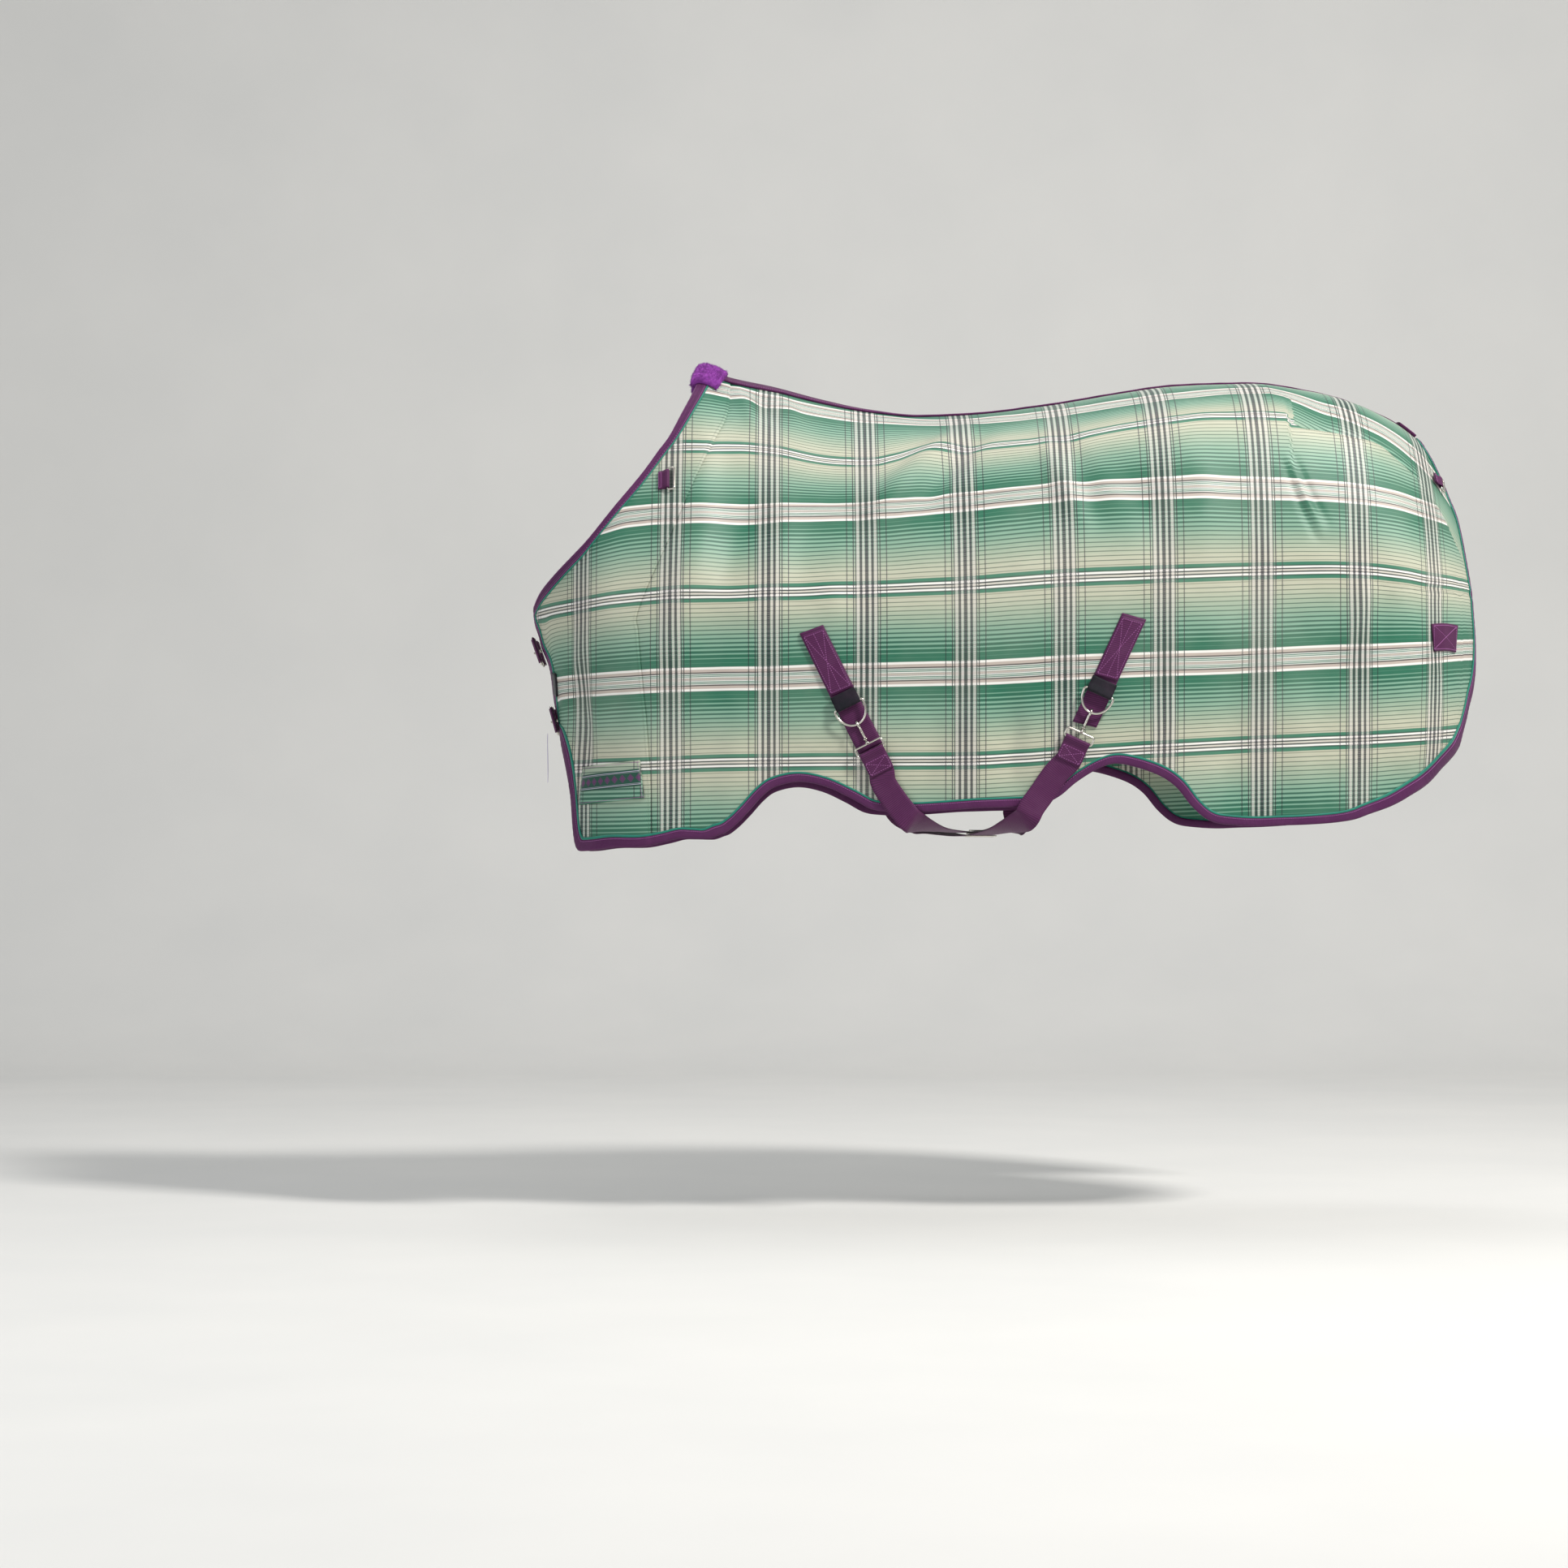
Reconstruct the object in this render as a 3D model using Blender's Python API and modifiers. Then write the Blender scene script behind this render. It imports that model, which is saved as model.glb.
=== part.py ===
"""Horse sheet (turnout rug): draped cloth panels, bindings, webbing and metal fittings.

Metres, +Z up. The wearer's head is at -X, its tail at +X, its left (near) side at -Y.
The origin is on the spine seam at mid back, where the horse's back carries the rug.
"""
import math

import bmesh
import bpy
import numpy as np
from mathutils import Matrix, Vector, geometry

for old in list(bpy.data.objects):
    bpy.data.objects.remove(old, do_unlink=True)

# ---------------------------------------------------------------- dimensions
CLOTH = 0.0024          # coated mesh with its seam allowance
WEB = 0.0018            # polypropylene webbing
WIDE = 0.050            # surcingle webbing
NECK_BIND, EDGE_BIND = 0.021, 0.0145
PIPE = 0.0034
GAP = 0.0003
BAR_HEIGHT = 0.0122     # surcingle D-ring bar above the cloth

# spine height along the back; ahead of the withers and behind the dock it is the line the side sections hang from
SPINE = [(-0.95, -0.285), (-0.876, -0.205), (-0.814, -0.135), (-0.748, -0.062), (-0.683, 0.0), (-0.64, 0.042),
         (-0.6, 0.074), (-0.565, 0.084), (-0.52, 0.0675), (-0.433, 0.0484), (-0.337, 0.0232), (-0.247, 0.0042),
         (-0.151, -0.0065), (-0.042, -0.003), (0.104, 0.0137), (0.2225, 0.0327), (0.355, 0.0510), (0.489, 0.0545),
         (0.621, 0.0354), (0.754, -0.0131), (0.82, -0.0560), (0.85, -0.084), (0.88, -0.122), (0.95, -0.24)]
# half width of the body, drop from the spine to the widest level, and how square the section is (2 is an ellipse)
BODY = [(-0.95, 0.20, 0.34, 2.0), (-0.75, 0.240, 0.38, 1.85), (-0.60, 0.265, 0.45, 1.45), (-0.50, 0.272, 0.46, 1.38),
        (-0.35, 0.280, 0.46, 1.48), (-0.15, 0.300, 0.45, 1.7), (0.05, 0.314, 0.43, 1.9), (0.25, 0.318, 0.40, 2.1),
        (0.45, 0.308, 0.38, 2.3), (0.60, 0.300, 0.37, 2.4), (0.75, 0.288, 0.36, 2.4), (0.95, 0.27, 0.36, 2.3)]
# how far forward and back the body reaches at each height
FRONT = [(-1.0, -0.866), (-0.85, -0.857), (-0.774, -0.852), (-0.70, -0.843), (-0.62, -0.841), (-0.56, -0.857),
         (-0.50, -0.868), (-0.45, -0.886), (-0.40, -0.903), (-0.35, -0.915), (0.2, -0.915)]
REAR = [(-1.0, 0.87), (-0.85, 0.872), (-0.726, 0.887), (-0.644, 0.921), (-0.5525, 0.930), (-0.48, 0.935),
        (-0.362, 0.930), (-0.2816, 0.917), (-0.2145, 0.904), (-0.166, 0.885), (-0.10, 0.868), (0.2, 0.86)]
FRONT_ROUND, REAR_ROUND = 0.20, 0.25

# side-view outlines, (x, z)
NECK = [(-0.565, 0.084), (-0.580, 0.050), (-0.5946, 0.0131), (-0.626, -0.054), (-0.6517, -0.0922), (-0.6833, -0.138),
        (-0.7166, -0.180), (-0.7483, -0.220), (-0.7816, -0.261), (-0.8138, -0.2933), (-0.8471, -0.326),
        (-0.8761, -0.3553), (-0.8920, -0.3844)]
FRONT_EDGE = [(-0.8920, -0.3844), (-0.8915, -0.405), (-0.8850, -0.430), (-0.8780, -0.455), (-0.8650, -0.490),
              (-0.8580, -0.535), (-0.8465, -0.590), (-0.8360, -0.625), (-0.8280, -0.660), (-0.8210, -0.702),
              (-0.8145, -0.774), (-0.8060, -0.840)]
HEM = [(-0.8060, -0.840), (-0.785, -0.8500), (-0.713, -0.8438), (-0.6466, -0.8363), (-0.5688, -0.8272),
       (-0.5293, -0.8196), (-0.5034, -0.803), (-0.4777, -0.777), (-0.452, -0.7485), (-0.4262, -0.7303),
       (-0.3807, -0.7214), (-0.3338, -0.7304), (-0.2872, -0.7518), (-0.2479, -0.7725), (-0.2106, -0.7777),
       (-0.1518, -0.7777), (-0.0584, -0.7712), (0.0019, -0.7692), (0.060, -0.7660), (0.0980, -0.7500),
       (0.1321, -0.7221), (0.1757, -0.6960), (0.214, -0.6888), (0.2773, -0.7069), (0.3159, -0.7308),
       (0.3475, -0.7686), (0.380, -0.7940), (0.420, -0.8020), (0.483, -0.8040), (0.5545, -0.8015), (0.6335, -0.795),
       (0.679, -0.7817), (0.7332, -0.7617), (0.7956, -0.7262), (0.8375, -0.686), (0.870, -0.644), (0.897, -0.5525),
       (0.9055, -0.481), (0.9045, -0.420), (0.902, -0.3623), (0.893, -0.2816), (0.881, -0.2145), (0.865, -0.1657),
       (0.845, -0.115), (0.8286, -0.080), (0.822, -0.060)]
SEAM = [(-0.515, 0.066), (-0.518, -0.004), (-0.540, -0.060), (-0.5726, -0.130), (-0.620, -0.245), (-0.683, -0.397),
        (-0.684, -0.440), (-0.6760, -0.530), (-0.6676, -0.624), (-0.6615, -0.719), (-0.6590, -0.8370)]


# ---------------------------------------------------------------- the draped surface
def smooth(points):
    """A monotone cubic through (x, y) points."""
    x, y = (np.array(c, float) for c in zip(*points))
    h = np.diff(x)
    d = np.diff(y) / h
    m = np.zeros_like(y)
    m[0], m[-1] = d[0], d[-1]
    for k in range(1, len(x) - 1):
        if d[k - 1] * d[k] > 0:
            w1, w2 = 2 * h[k] + h[k - 1], h[k] + 2 * h[k - 1]
            m[k] = (w1 + w2) / (w1 / d[k - 1] + w2 / d[k])

    def at(q):
        q = np.clip(np.asarray(q, float), x[0], x[-1])
        k = np.clip(np.searchsorted(x, q, side="right") - 1, 0, len(x) - 2)
        t = (q - x[k]) / h[k]
        return ((2 * t**3 - 3 * t**2 + 1) * y[k] + (t**3 - 2 * t**2 + t) * h[k] * m[k]
                + (3 * t**2 - 2 * t**3) * y[k + 1] + (t**3 - t**2) * h[k] * m[k + 1])
    return at


spine_z = smooth(SPINE)
half_width = smooth([(b[0], b[1]) for b in BODY])
drop = smooth([(b[0], b[2]) for b in BODY])
squareness = smooth([(b[0], b[3]) for b in BODY])
front_x = smooth(FRONT)
rear_x = smooth(REAR)


def rounded(s):
    return np.sqrt(np.clip(1 - (1 - np.clip(s, 0, 1)) ** 2.2, 0, 1))


def side_y(x, z):
    """Half width of the rug at a side-view point."""
    zt, w, h, n = spine_z(x), half_width(x), drop(x), squareness(x)
    up = np.clip((z - (zt - h)) / h, 0, 1)
    y = w * (1 - up**n) ** (1 / n)
    below = np.clip((zt - h) - z, 0, 1)
    y = y * (1 - 0.25 * below**2)
    return y * rounded((x - front_x(z)) / FRONT_ROUND) * rounded((rear_x(z) - x) / REAR_ROUND)


X_FROM, X_TO, NX, NZ, NV = -0.9149, 0.9349, 371, 400, 261
V_MOST = 1.30
_x = X_FROM + (X_TO - X_FROM) * np.linspace(0, 1, NX)
_fine = np.linspace(X_FROM, X_TO, 4001)
_run = np.concatenate([[0], np.cumsum(np.hypot(np.diff(_fine), np.diff(side_y(_fine, -0.43 + 0 * _fine))))])
_run -= np.interp(0.0, _fine, _run)
A_FROM, A_TO = _run[0], _run[-1]
_a = np.linspace(A_FROM, A_TO, NX)
_xa = np.interp(_a, _run, _fine)
_v = np.linspace(0, V_MOST, NV)
_grid = np.zeros((NX, NV, 3))
_drops = 1.0 * np.linspace(0, 1, NZ) ** 2
_depth = np.zeros((NX, NZ))
for _i, _xi in enumerate(_xa):
    _z = spine_z(_xi) - _drops
    _y = side_y(_xi + 0 * _z, _z)
    _len = np.concatenate([[0], np.cumsum(np.hypot(np.diff(_y), np.diff(_z)))])
    _depth[_i] = _len
    _grid[_i, :, 0] = _xi
    _grid[_i, :, 1] = np.interp(_v, _len, _y)
    _grid[_i, :, 2] = np.interp(_v, _len, _z)


def pattern(x, z):
    """Flat-pattern place (a, v) of a side-view point: a runs nose to tail, v down from the spine."""
    a = float(np.interp(x, _fine, _run))
    f = (a - A_FROM) / (A_TO - A_FROM) * (NX - 1)
    i = min(int(f), NX - 2)
    f -= i
    d = math.sqrt(max(0.0, float(spine_z(x)) - z)) * (NZ - 1)
    j = min(int(d), NZ - 2)
    d -= j
    row = _depth[i, j:j + 2] * (1 - f) + _depth[i + 1, j:j + 2] * f
    return a, float(row[0] * (1 - d) + row[1] * d)


def surface(a, v):
    """Point of the left side (y as a positive half width) at a flat-pattern place."""
    f = np.clip((a - A_FROM) / (A_TO - A_FROM), 0, 1) * (NX - 1)
    g = np.clip(v / V_MOST, 0, 1) * (NV - 1)
    i, j = min(int(f), NX - 2), min(int(g), NV - 2)
    f, g = f - i, g - j
    return ((_grid[i, j] * (1 - f) + _grid[i + 1, j] * f) * (1 - g)
            + (_grid[i, j + 1] * (1 - f) + _grid[i + 1, j + 1] * f) * g)


def normal(a, v):
    e = 0.006
    ta = surface(a + e, v) - surface(a - e, v)
    if v < e:
        tv = surface(a, v + 2 * e) - surface(a, v)
        if v < 1e-6:
            tv = np.array([0, 1.0, 0])
    else:
        tv = surface(a, v + e) - surface(a, v - e)
    n = np.cross(tv, ta)
    n = n if n[1] > 0 or abs(n[1]) < 1e-9 else -n
    if v < 1e-6 and n[2] < 0:
        n = -n
    return n / np.linalg.norm(n)


def place(side, a, v, out=0.0):
    """World point on a side (-1 left, +1 right), raised from the cloth by out."""
    p = surface(a, abs(v)) + out * normal(a, abs(v))
    return Vector((p[0], side * p[1], p[2]))


def curve_through(points, step):
    """Centripetal-like cubic through 2D or 3D points, resampled about every step."""
    p = np.array(points, float)
    ends = [2 * p[0] - p[1], *p, 2 * p[-1] - p[-2]]
    out = []
    for k in range(1, len(ends) - 2):
        p0, p1, p2, p3 = (np.array(q) for q in ends[k - 1:k + 3])
        for t in np.linspace(0, 1, 12, endpoint=False):
            out.append(0.5 * (2 * p1 + (p2 - p0) * t + (2 * p0 - 5 * p1 + 4 * p2 - p3) * t**2
                              + (3 * p1 - p0 - 3 * p2 + p3) * t**3))
    out.append(p[-1])
    out = np.array(out)
    run = np.concatenate([[0], np.cumsum(np.linalg.norm(np.diff(out, axis=0), axis=1))])
    n = max(2, int(round(run[-1] / step)) + 1)
    at = np.linspace(0, run[-1], n)
    return np.stack([np.interp(at, run, out[:, c]) for c in range(out.shape[1])], 1)


def to_pattern(outline):
    return [pattern(x, z) for x, z in outline]


# ---------------------------------------------------------------- building helpers
rug = bpy.data.collections.new("turnout_rug")
bpy.context.scene.collection.children.link(rug)
tools = bpy.data.collections.new("cutters")
bpy.context.scene.collection.children.link(tools)
materials = {}


def material(name, colour, roughness=0.6, metallic=0.0):
    if name not in materials:
        m = bpy.data.materials.new(name)
        m.use_nodes = True
        b = m.node_tree.nodes["Principled BSDF"]
        b.inputs["Base Color"].default_value = (*colour, 1)
        b.inputs["Roughness"].default_value = roughness
        b.inputs["Metallic"].default_value = metallic
        m.diffuse_color = (*colour, 1)
        materials[name] = m
    return materials[name]


PLAID = material("plaid_mesh", (0.30, 0.45, 0.33), 0.5)
PURPLE = material("purple_webbing", (0.12, 0.02, 0.10), 0.7)
TEAL = material("teal_piping", (0.0, 0.15, 0.12), 0.5)
FLEECE = material("purple_fleece", (0.30, 0.05, 0.40), 0.95)
ELASTIC = material("black_elastic", (0.02, 0.02, 0.025), 0.8)
NICKEL = material("nickel_plate", (0.75, 0.73, 0.70), 0.25, 1.0)
LINING = material("olive_lining", (0.12, 0.14, 0.05), 0.6)
LABEL = material("green_label", (0.0, 0.10, 0.08), 0.7)
STRING = material("pale_string", (0.75, 0.72, 0.85), 0.8)


def mesh_object(name, verts, faces, mat, matrix=None):
    mesh = bpy.data.meshes.new(name)
    mesh.from_pydata([tuple(v) for v in verts], [], faces)
    bm = bmesh.new()
    bm.from_mesh(mesh)
    bmesh.ops.recalc_face_normals(bm, faces=bm.faces)
    bm.to_mesh(mesh)
    bm.free()
    ob = bpy.data.objects.new(name, mesh)
    if matrix is not None:
        ob.matrix_world = matrix
    ob.data.materials.append(mat)
    rug.objects.link(ob)
    return ob


def skin(name, rows, mat, closed=False, matrix=None):
    """Closed solid through equal rings of points, capped at both ends unless it closes on itself."""
    n = len(rows[0])
    verts = [p for row in rows for p in row]
    faces = []
    last = len(rows) if closed else len(rows) - 1
    for i in range(last):
        j = (i + 1) % len(rows)
        for k in range(n):
            m = (k + 1) % n
            faces.append((i * n + k, i * n + m, j * n + m, j * n + k))
    if not closed:
        faces += [tuple(range(n)), tuple((len(rows) - 1) * n + k for k in reversed(range(n)))]
    return mesh_object(name, verts, faces, mat, matrix)


def cloth_panel(name, side, outline, spacing, mat, thick=CLOTH, out=0.0):
    """Flat pattern piece filled with an even net, draped on the body and given its thickness."""
    n = len(outline)
    inside = []
    lo, hi = outline.min(0), outline.max(0)
    nxt = np.roll(outline, -1, 0)
    middle, ends = (-0.66, 0.70), spacing * 0.52
    places = [(a, v, spacing) for r, v in enumerate(np.arange(lo[1] + spacing / 2, hi[1], spacing * 0.87))
              for a in np.arange(lo[0] + spacing / 2 + (r % 2) * spacing / 2, hi[0], spacing) if middle[0] < a < middle[1]]
    places += [(a, v, ends) for r, v in enumerate(np.arange(lo[1] + ends / 2, hi[1], ends * 0.87))
               for a in np.arange(lo[0] + ends / 2 + (r % 2) * ends / 2, hi[0], ends) if not middle[0] < a < middle[1]]
    for a, v, apart in places:
        if True:
            q = np.array([a, v])
            t = np.clip(((q - outline) * (nxt - outline)).sum(1) / ((nxt - outline) ** 2).sum(1), 0, 1)
            near = np.linalg.norm(outline + t[:, None] * (nxt - outline) - q, axis=1).min()
            cross = ((outline[:, 1] > v) != (nxt[:, 1] > v)) & (
                a < (nxt[:, 0] - outline[:, 0]) * (v - outline[:, 1]) / (nxt[:, 1] - outline[:, 1] + 1e-12) + outline[:, 0])
            if cross.sum() % 2 == 1 and near > apart * 0.55:
                inside.append(q)
    flat = [Vector(p) for p in outline] + [Vector(p) for p in inside]
    verts, _, faces, *_ = geometry.delaunay_2d_cdt(flat, [], [list(range(n))], 1, 1e-7)
    mesh = bpy.data.meshes.new(name)
    mesh.from_pydata([place(side, p[0], max(p[1], 1e-5), out) for p in verts], [], [list(f) for f in faces])
    bm = bmesh.new()
    bm.from_mesh(mesh)
    bmesh.ops.recalc_face_normals(bm, faces=bm.faces)
    if sum(f.normal.y * f.calc_area() for f in bm.faces) * side < 0:
        bmesh.ops.reverse_faces(bm, faces=bm.faces)
    bm.to_mesh(mesh)
    bm.free()
    ob = bpy.data.objects.new(name, mesh)
    ob.data.materials.append(mat)
    rug.objects.link(ob)
    wall = ob.modifiers.new("thickness", "SOLIDIFY")
    wall.thickness = thick
    wall.offset = 0
    return ob


def offset_path(path, distance, turn):
    """Flat-pattern path moved sideways by distance (an array or a number)."""
    p = np.array(path)
    t = np.gradient(p, axis=0)
    t /= np.linalg.norm(t, axis=1)[:, None]
    side = np.stack([-t[:, 1], t[:, 0]], 1) * turn
    return p + side * np.reshape(distance, (-1, 1))


def edge_rows(side, path, d0, d1, n0, n1, turn):
    """Rings of a strip that lies between two distances in from an edge."""
    outer, inner = offset_path(path, d0, turn), offset_path(path, d1, turn)
    rows = []
    for o, i in zip(outer, inner):
        o, i = (o[0], max(o[1], 1e-5)), (i[0], max(i[1], 1e-5))
        rows.append([place(side, *o, n0), place(side, *i, n0), place(side, *i, n1), place(side, *o, n1)])
    return rows


def ribbon_rows(points, width_dirs, width, thick):
    """Rings of a flat strap along 3D points, its width along width_dirs."""
    p = [Vector(q) for q in points]
    rows = []
    for k, q in enumerate(p):
        t = (p[min(k + 1, len(p) - 1)] - p[max(k - 1, 0)]).normalized()
        w = Vector(width_dirs[k])
        w = (w - t * w.dot(t)).normalized()
        n = t.cross(w).normalized()
        hw, ht = w * width / 2, n * thick / 2
        rows.append([q - hw - ht, q + hw - ht, q + hw + ht, q - hw + ht])
    return rows


def square_to(side, c, d):
    """Flat-pattern step of one metre that crosses direction d at right angles once it lies on the body."""
    h = 0.004
    o = place(side, *c)
    e = [(place(side, c[0] + h, c[1]) - o) / h, (place(side, c[0], c[1] + h) - o) / h]
    g = np.array([[e[i].dot(e[j]) for j in (0, 1)] for i in (0, 1)])
    s = np.array([-(g @ d)[1], (g @ d)[0]])
    return s / math.sqrt(s @ g @ s)


def flat_band(name, side, a0v0, a1v1, width, out, mat, thick=WEB, cols=2, rows=6, square=False):
    """Webbing sewn flat on the cloth between two pattern places."""
    p0, p1 = np.array(a0v0), np.array(a1v1)
    d = (p1 - p0) / np.linalg.norm(p1 - p0)
    s = np.array([-d[1], d[0]])
    rings = []
    for t in np.linspace(0, 1, rows):
        c = p0 + (p1 - p0) * t
        if square:
            s = square_to(side, c, d)
        low = [place(side, *(c + s * (u - 0.5) * width), out - thick / 2) for u in np.linspace(0, 1, cols + 1)]
        top = [place(side, *(c + s * (u - 0.5) * width), out + thick / 2) for u in np.linspace(1, 0, cols + 1)]
        rings.append(low + top)
    return skin(name, rings, mat)


def frame_at(side, av, toward, height, inward=False):
    """Local frame on the cloth: X along a ring's bar, Y away from its tab, Z off the cloth."""
    a, v = av
    n = normal(a, v)
    n = Vector((n[0], side * n[1], n[2]))
    if inward:
        n = -n
    o = place(side, a, v) + n * height
    q = place(side, a + toward[0] * 0.004, v + toward[1] * 0.004) - place(side, a, v)
    y = (q - n * q.dot(n)).normalized()
    x = y.cross(n).normalized()
    m = Matrix((x, y, n)).transposed().to_4x4()
    m.translation = o
    return m


def wire(name, points, radius, matrix, cyclic=True, mat=NICKEL, resolution=2):
    """Bent wire along points in its own frame."""
    c = bpy.data.curves.new(name, "CURVE")
    c.dimensions = "3D"
    c.bevel_depth = radius
    c.bevel_resolution = resolution
    c.use_fill_caps = True
    s = c.splines.new("POLY")
    s.points.add(len(points) - 1)
    for k, p in enumerate(points):
        s.points[k].co = (*p, 1)
    s.use_cyclic_u = cyclic
    ob = bpy.data.objects.new(name, c)
    ob.matrix_world = matrix
    ob.data.materials.append(mat)
    rug.objects.link(ob)
    return ob


def as_mesh(ob):
    """The curve as a welded mesh object of the same name and place."""
    bpy.context.view_layer.update()
    mesh = bpy.data.meshes.new_from_object(ob.evaluated_get(bpy.context.evaluated_depsgraph_get()))
    bm = bmesh.new()
    bm.from_mesh(mesh)
    bmesh.ops.remove_doubles(bm, verts=bm.verts, dist=1e-6)
    bmesh.ops.recalc_face_normals(bm, faces=bm.faces)
    bm.to_mesh(mesh)
    bm.free()
    name, matrix = ob.name, ob.matrix_world.copy()
    bpy.data.objects.remove(ob, do_unlink=True)
    new = bpy.data.objects.new(name, mesh)
    new.matrix_world = matrix
    rug.objects.link(new)
    return new


def helper(ob):
    for c in list(ob.users_collection):
        c.objects.unlink(ob)
    tools.objects.link(ob)
    ob.hide_render = True
    ob.display_type = "WIRE"
    return ob


def union(base, *others):
    for k, other in enumerate(others):
        m = base.modifiers.new(f"join_{k}", "BOOLEAN")
        m.operation = "UNION"
        m.solver = "EXACT"
        m.object = helper(other)
    return base


def box(name, size, matrix, mat, centre=(0, 0, 0)):
    mesh = bpy.data.meshes.new(name)
    bm = bmesh.new()
    bmesh.ops.create_cube(bm, size=1)
    bmesh.ops.scale(bm, vec=size, verts=bm.verts)
    bmesh.ops.translate(bm, vec=centre, verts=bm.verts)
    bm.to_mesh(mesh)
    bm.free()
    ob = bpy.data.objects.new(name, mesh)
    ob.matrix_world = matrix
    ob.data.materials.append(mat)
    rug.objects.link(ob)
    return ob


def arc(cx, cy, r, start, end, n):
    return [(cx + r * math.cos(math.radians(t)), cy + r * math.sin(math.radians(t))) for t in np.linspace(start, end, n)]


def rect_ring_points(half, depth, corner=0.004):
    pts = []
    for cx, cy, s in ((half - corner, corner, -90), (half - corner, depth - corner, 0),
                      (-half + corner, depth - corner, 90), (-half + corner, corner, 180)):
        pts += arc(cx, cy, corner, s, s + 90, 3)
    return [(x, y, 0.0) for x, y in pts]


def d_ring_points(half, depth, corner=0.004):
    pts = arc(half - corner, corner, corner, -90, -10, 3)
    low = corner + 0.001
    for t in np.linspace(0, 180, 11):
        pts.append((half * math.cos(math.radians(t)), low + (depth - low) * math.sin(math.radians(t))))
    pts += arc(-half + corner, corner, corner, 190, 270, 3)
    return [(x, y, 0.0) for x, y in pts]


def folded_tab(name, matrix, width, length, bar, mat, thick=WEB, upper=None, pinch=0.013):
    """Webbing folded round a ring's bar: the lower ply lies on the cloth and the upper ply comes back over it."""
    r = bar + 0.0005 + thick / 2
    upper = length - 0.002 if upper is None else upper
    path = [(-length, -r), (-length * 0.5, -r), (0, -r)]
    path += arc(0, 0, r, -60, 60, 5)
    path += [(0, r), (-pinch, -r + thick + 0.00045), (-upper, -r + thick + 0.00045)]
    rows = ribbon_rows([(0, y, z) for y, z in path], [(1, 0, 0)] * len(path), width, thick)
    return skin(name, rows, mat, matrix=matrix)


def snap_hook(prefix, matrix, half, eye, length, r=0.0023):
    """Snap with a rectangular webbing eye. Its frame has the folded strap's bar along X and the hook towards +Y."""
    hook_path = [(eye, 0.0), (eye + 0.005, 0.0), (eye + 0.008, -0.0014), (eye + 0.011, -0.0044)]
    top = eye + length - r
    hook_path += [(eye + 0.014, -0.0057), (top - 0.0080, -0.0057)]
    hook_path += [(top - 0.0044, -0.0047), (top - 0.0018, -0.0021), (top - 0.0010, 0.0010), (top - 0.0020, 0.0040),
                  (top - 0.0046, 0.0062), (top - 0.0080, 0.0070), (top - 0.0125, 0.0070)]
    ring = as_mesh(wire(prefix + "_snap", rect_ring_points(half, eye), 0.0020, matrix))
    hook = as_mesh(wire(prefix + "_hook", [(0, y, z) for y, z in hook_path], r, matrix, cyclic=False))
    lug = box(prefix + "_lug", (0.0056, 0.008, 0.0050), matrix, NICKEL, (0, eye + 0.0080, -0.0005))
    union(ring, hook, lug)
    # spring gate, hinged near the shank and resting under the nose
    pivot = (0, eye + 0.0125, 0.0034)
    m = matrix @ Matrix.Translation(pivot)
    reach = (top - 0.0125 - (0.0004 if length > 0.045 else 0.0012)) - pivot[1]
    rise = 0.0070 - pivot[2]
    gate_path = [(0.0, 0.0), (0.003, rise * 0.6), (reach * 0.6, rise), (reach, rise)]
    wire(prefix + "_gate", [(0, y, z) for y, z in gate_path], 0.0013, m, cyclic=False)
    return ring


# ---------------------------------------------------------------- outlines in the flat pattern
STEP = 0.040
PAD_STEPS = 7
neck = curve_through(to_pattern(NECK), 0.0125)
neck[0] = (pattern(-0.565, 0.084)[0], 0.0)
neck = np.concatenate([neck[:PAD_STEPS], neck[PAD_STEPS + 2::3]])
edge = curve_through(to_pattern(FRONT_EDGE) + to_pattern(HEM)[1:], STEP * 0.92)
seam = curve_through(to_pattern(SEAM), 0.05)


def all_round():
    """Neck and edge as one path with the width of binding at each point."""
    path = np.concatenate([neck, edge[1:]])
    width = np.concatenate([np.full(len(neck), NECK_BIND), np.full(len(edge) - 1, EDGE_BIND)])
    return path, width


path, bind = all_round()
TURN = 1 if True else -1


def inward_sign():
    mid = len(path) // 2
    test = offset_path(path, 0.02, 1)[mid]
    centre = np.array([0.0, 0.45])
    return 1 if np.linalg.norm(test - centre) < np.linalg.norm(path[mid] - centre) else -1


TURN = inward_sign()
n_neck = len(neck)



def clear_of_edge(extra):
    """Which points of the path, set in by its binding and this much more, stay that far from every stretch of edge."""
    p = offset_path(path, bind + extra, TURN)
    d = path[1:] - path[:-1]
    keep = []
    for q in p:
        t = np.clip(((q - path[:-1]) * d).sum(1) / (d**2).sum(1), 0, 1)
        far = np.linalg.norm(path[:-1] + t[:, None] * d - q, axis=1) - np.minimum(bind[:-1], bind[1:])
        keep.append(far.min() > extra - (0.0030 if len(keep) < 8 else 0.0005))
    return np.array(keep)


# bindings: folded tape, seen as a thicker strip along each edge
CORNER = edge[0] * 0.25 + edge[1] * 0.75
for side, word in ((-1, "left"), (1, "right")):
    rows = edge_rows(side, np.concatenate([[CORNER], edge[1:]]), 0.0, EDGE_BIND, -0.002, 0.002, TURN)
    skin(f"{word}_edge_binding", rows, PURPLE)
    ring_in = bind + 2 * GAP
    rows = edge_rows(side, path, ring_in, ring_in + PIPE, -0.0016, 0.0026, TURN)
    rows = [row for row, ok in zip(rows, clear_of_edge(2 * GAP + PIPE)) if ok]
    skin(f"{word}_piping", rows[1:-1], TEAL)

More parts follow.
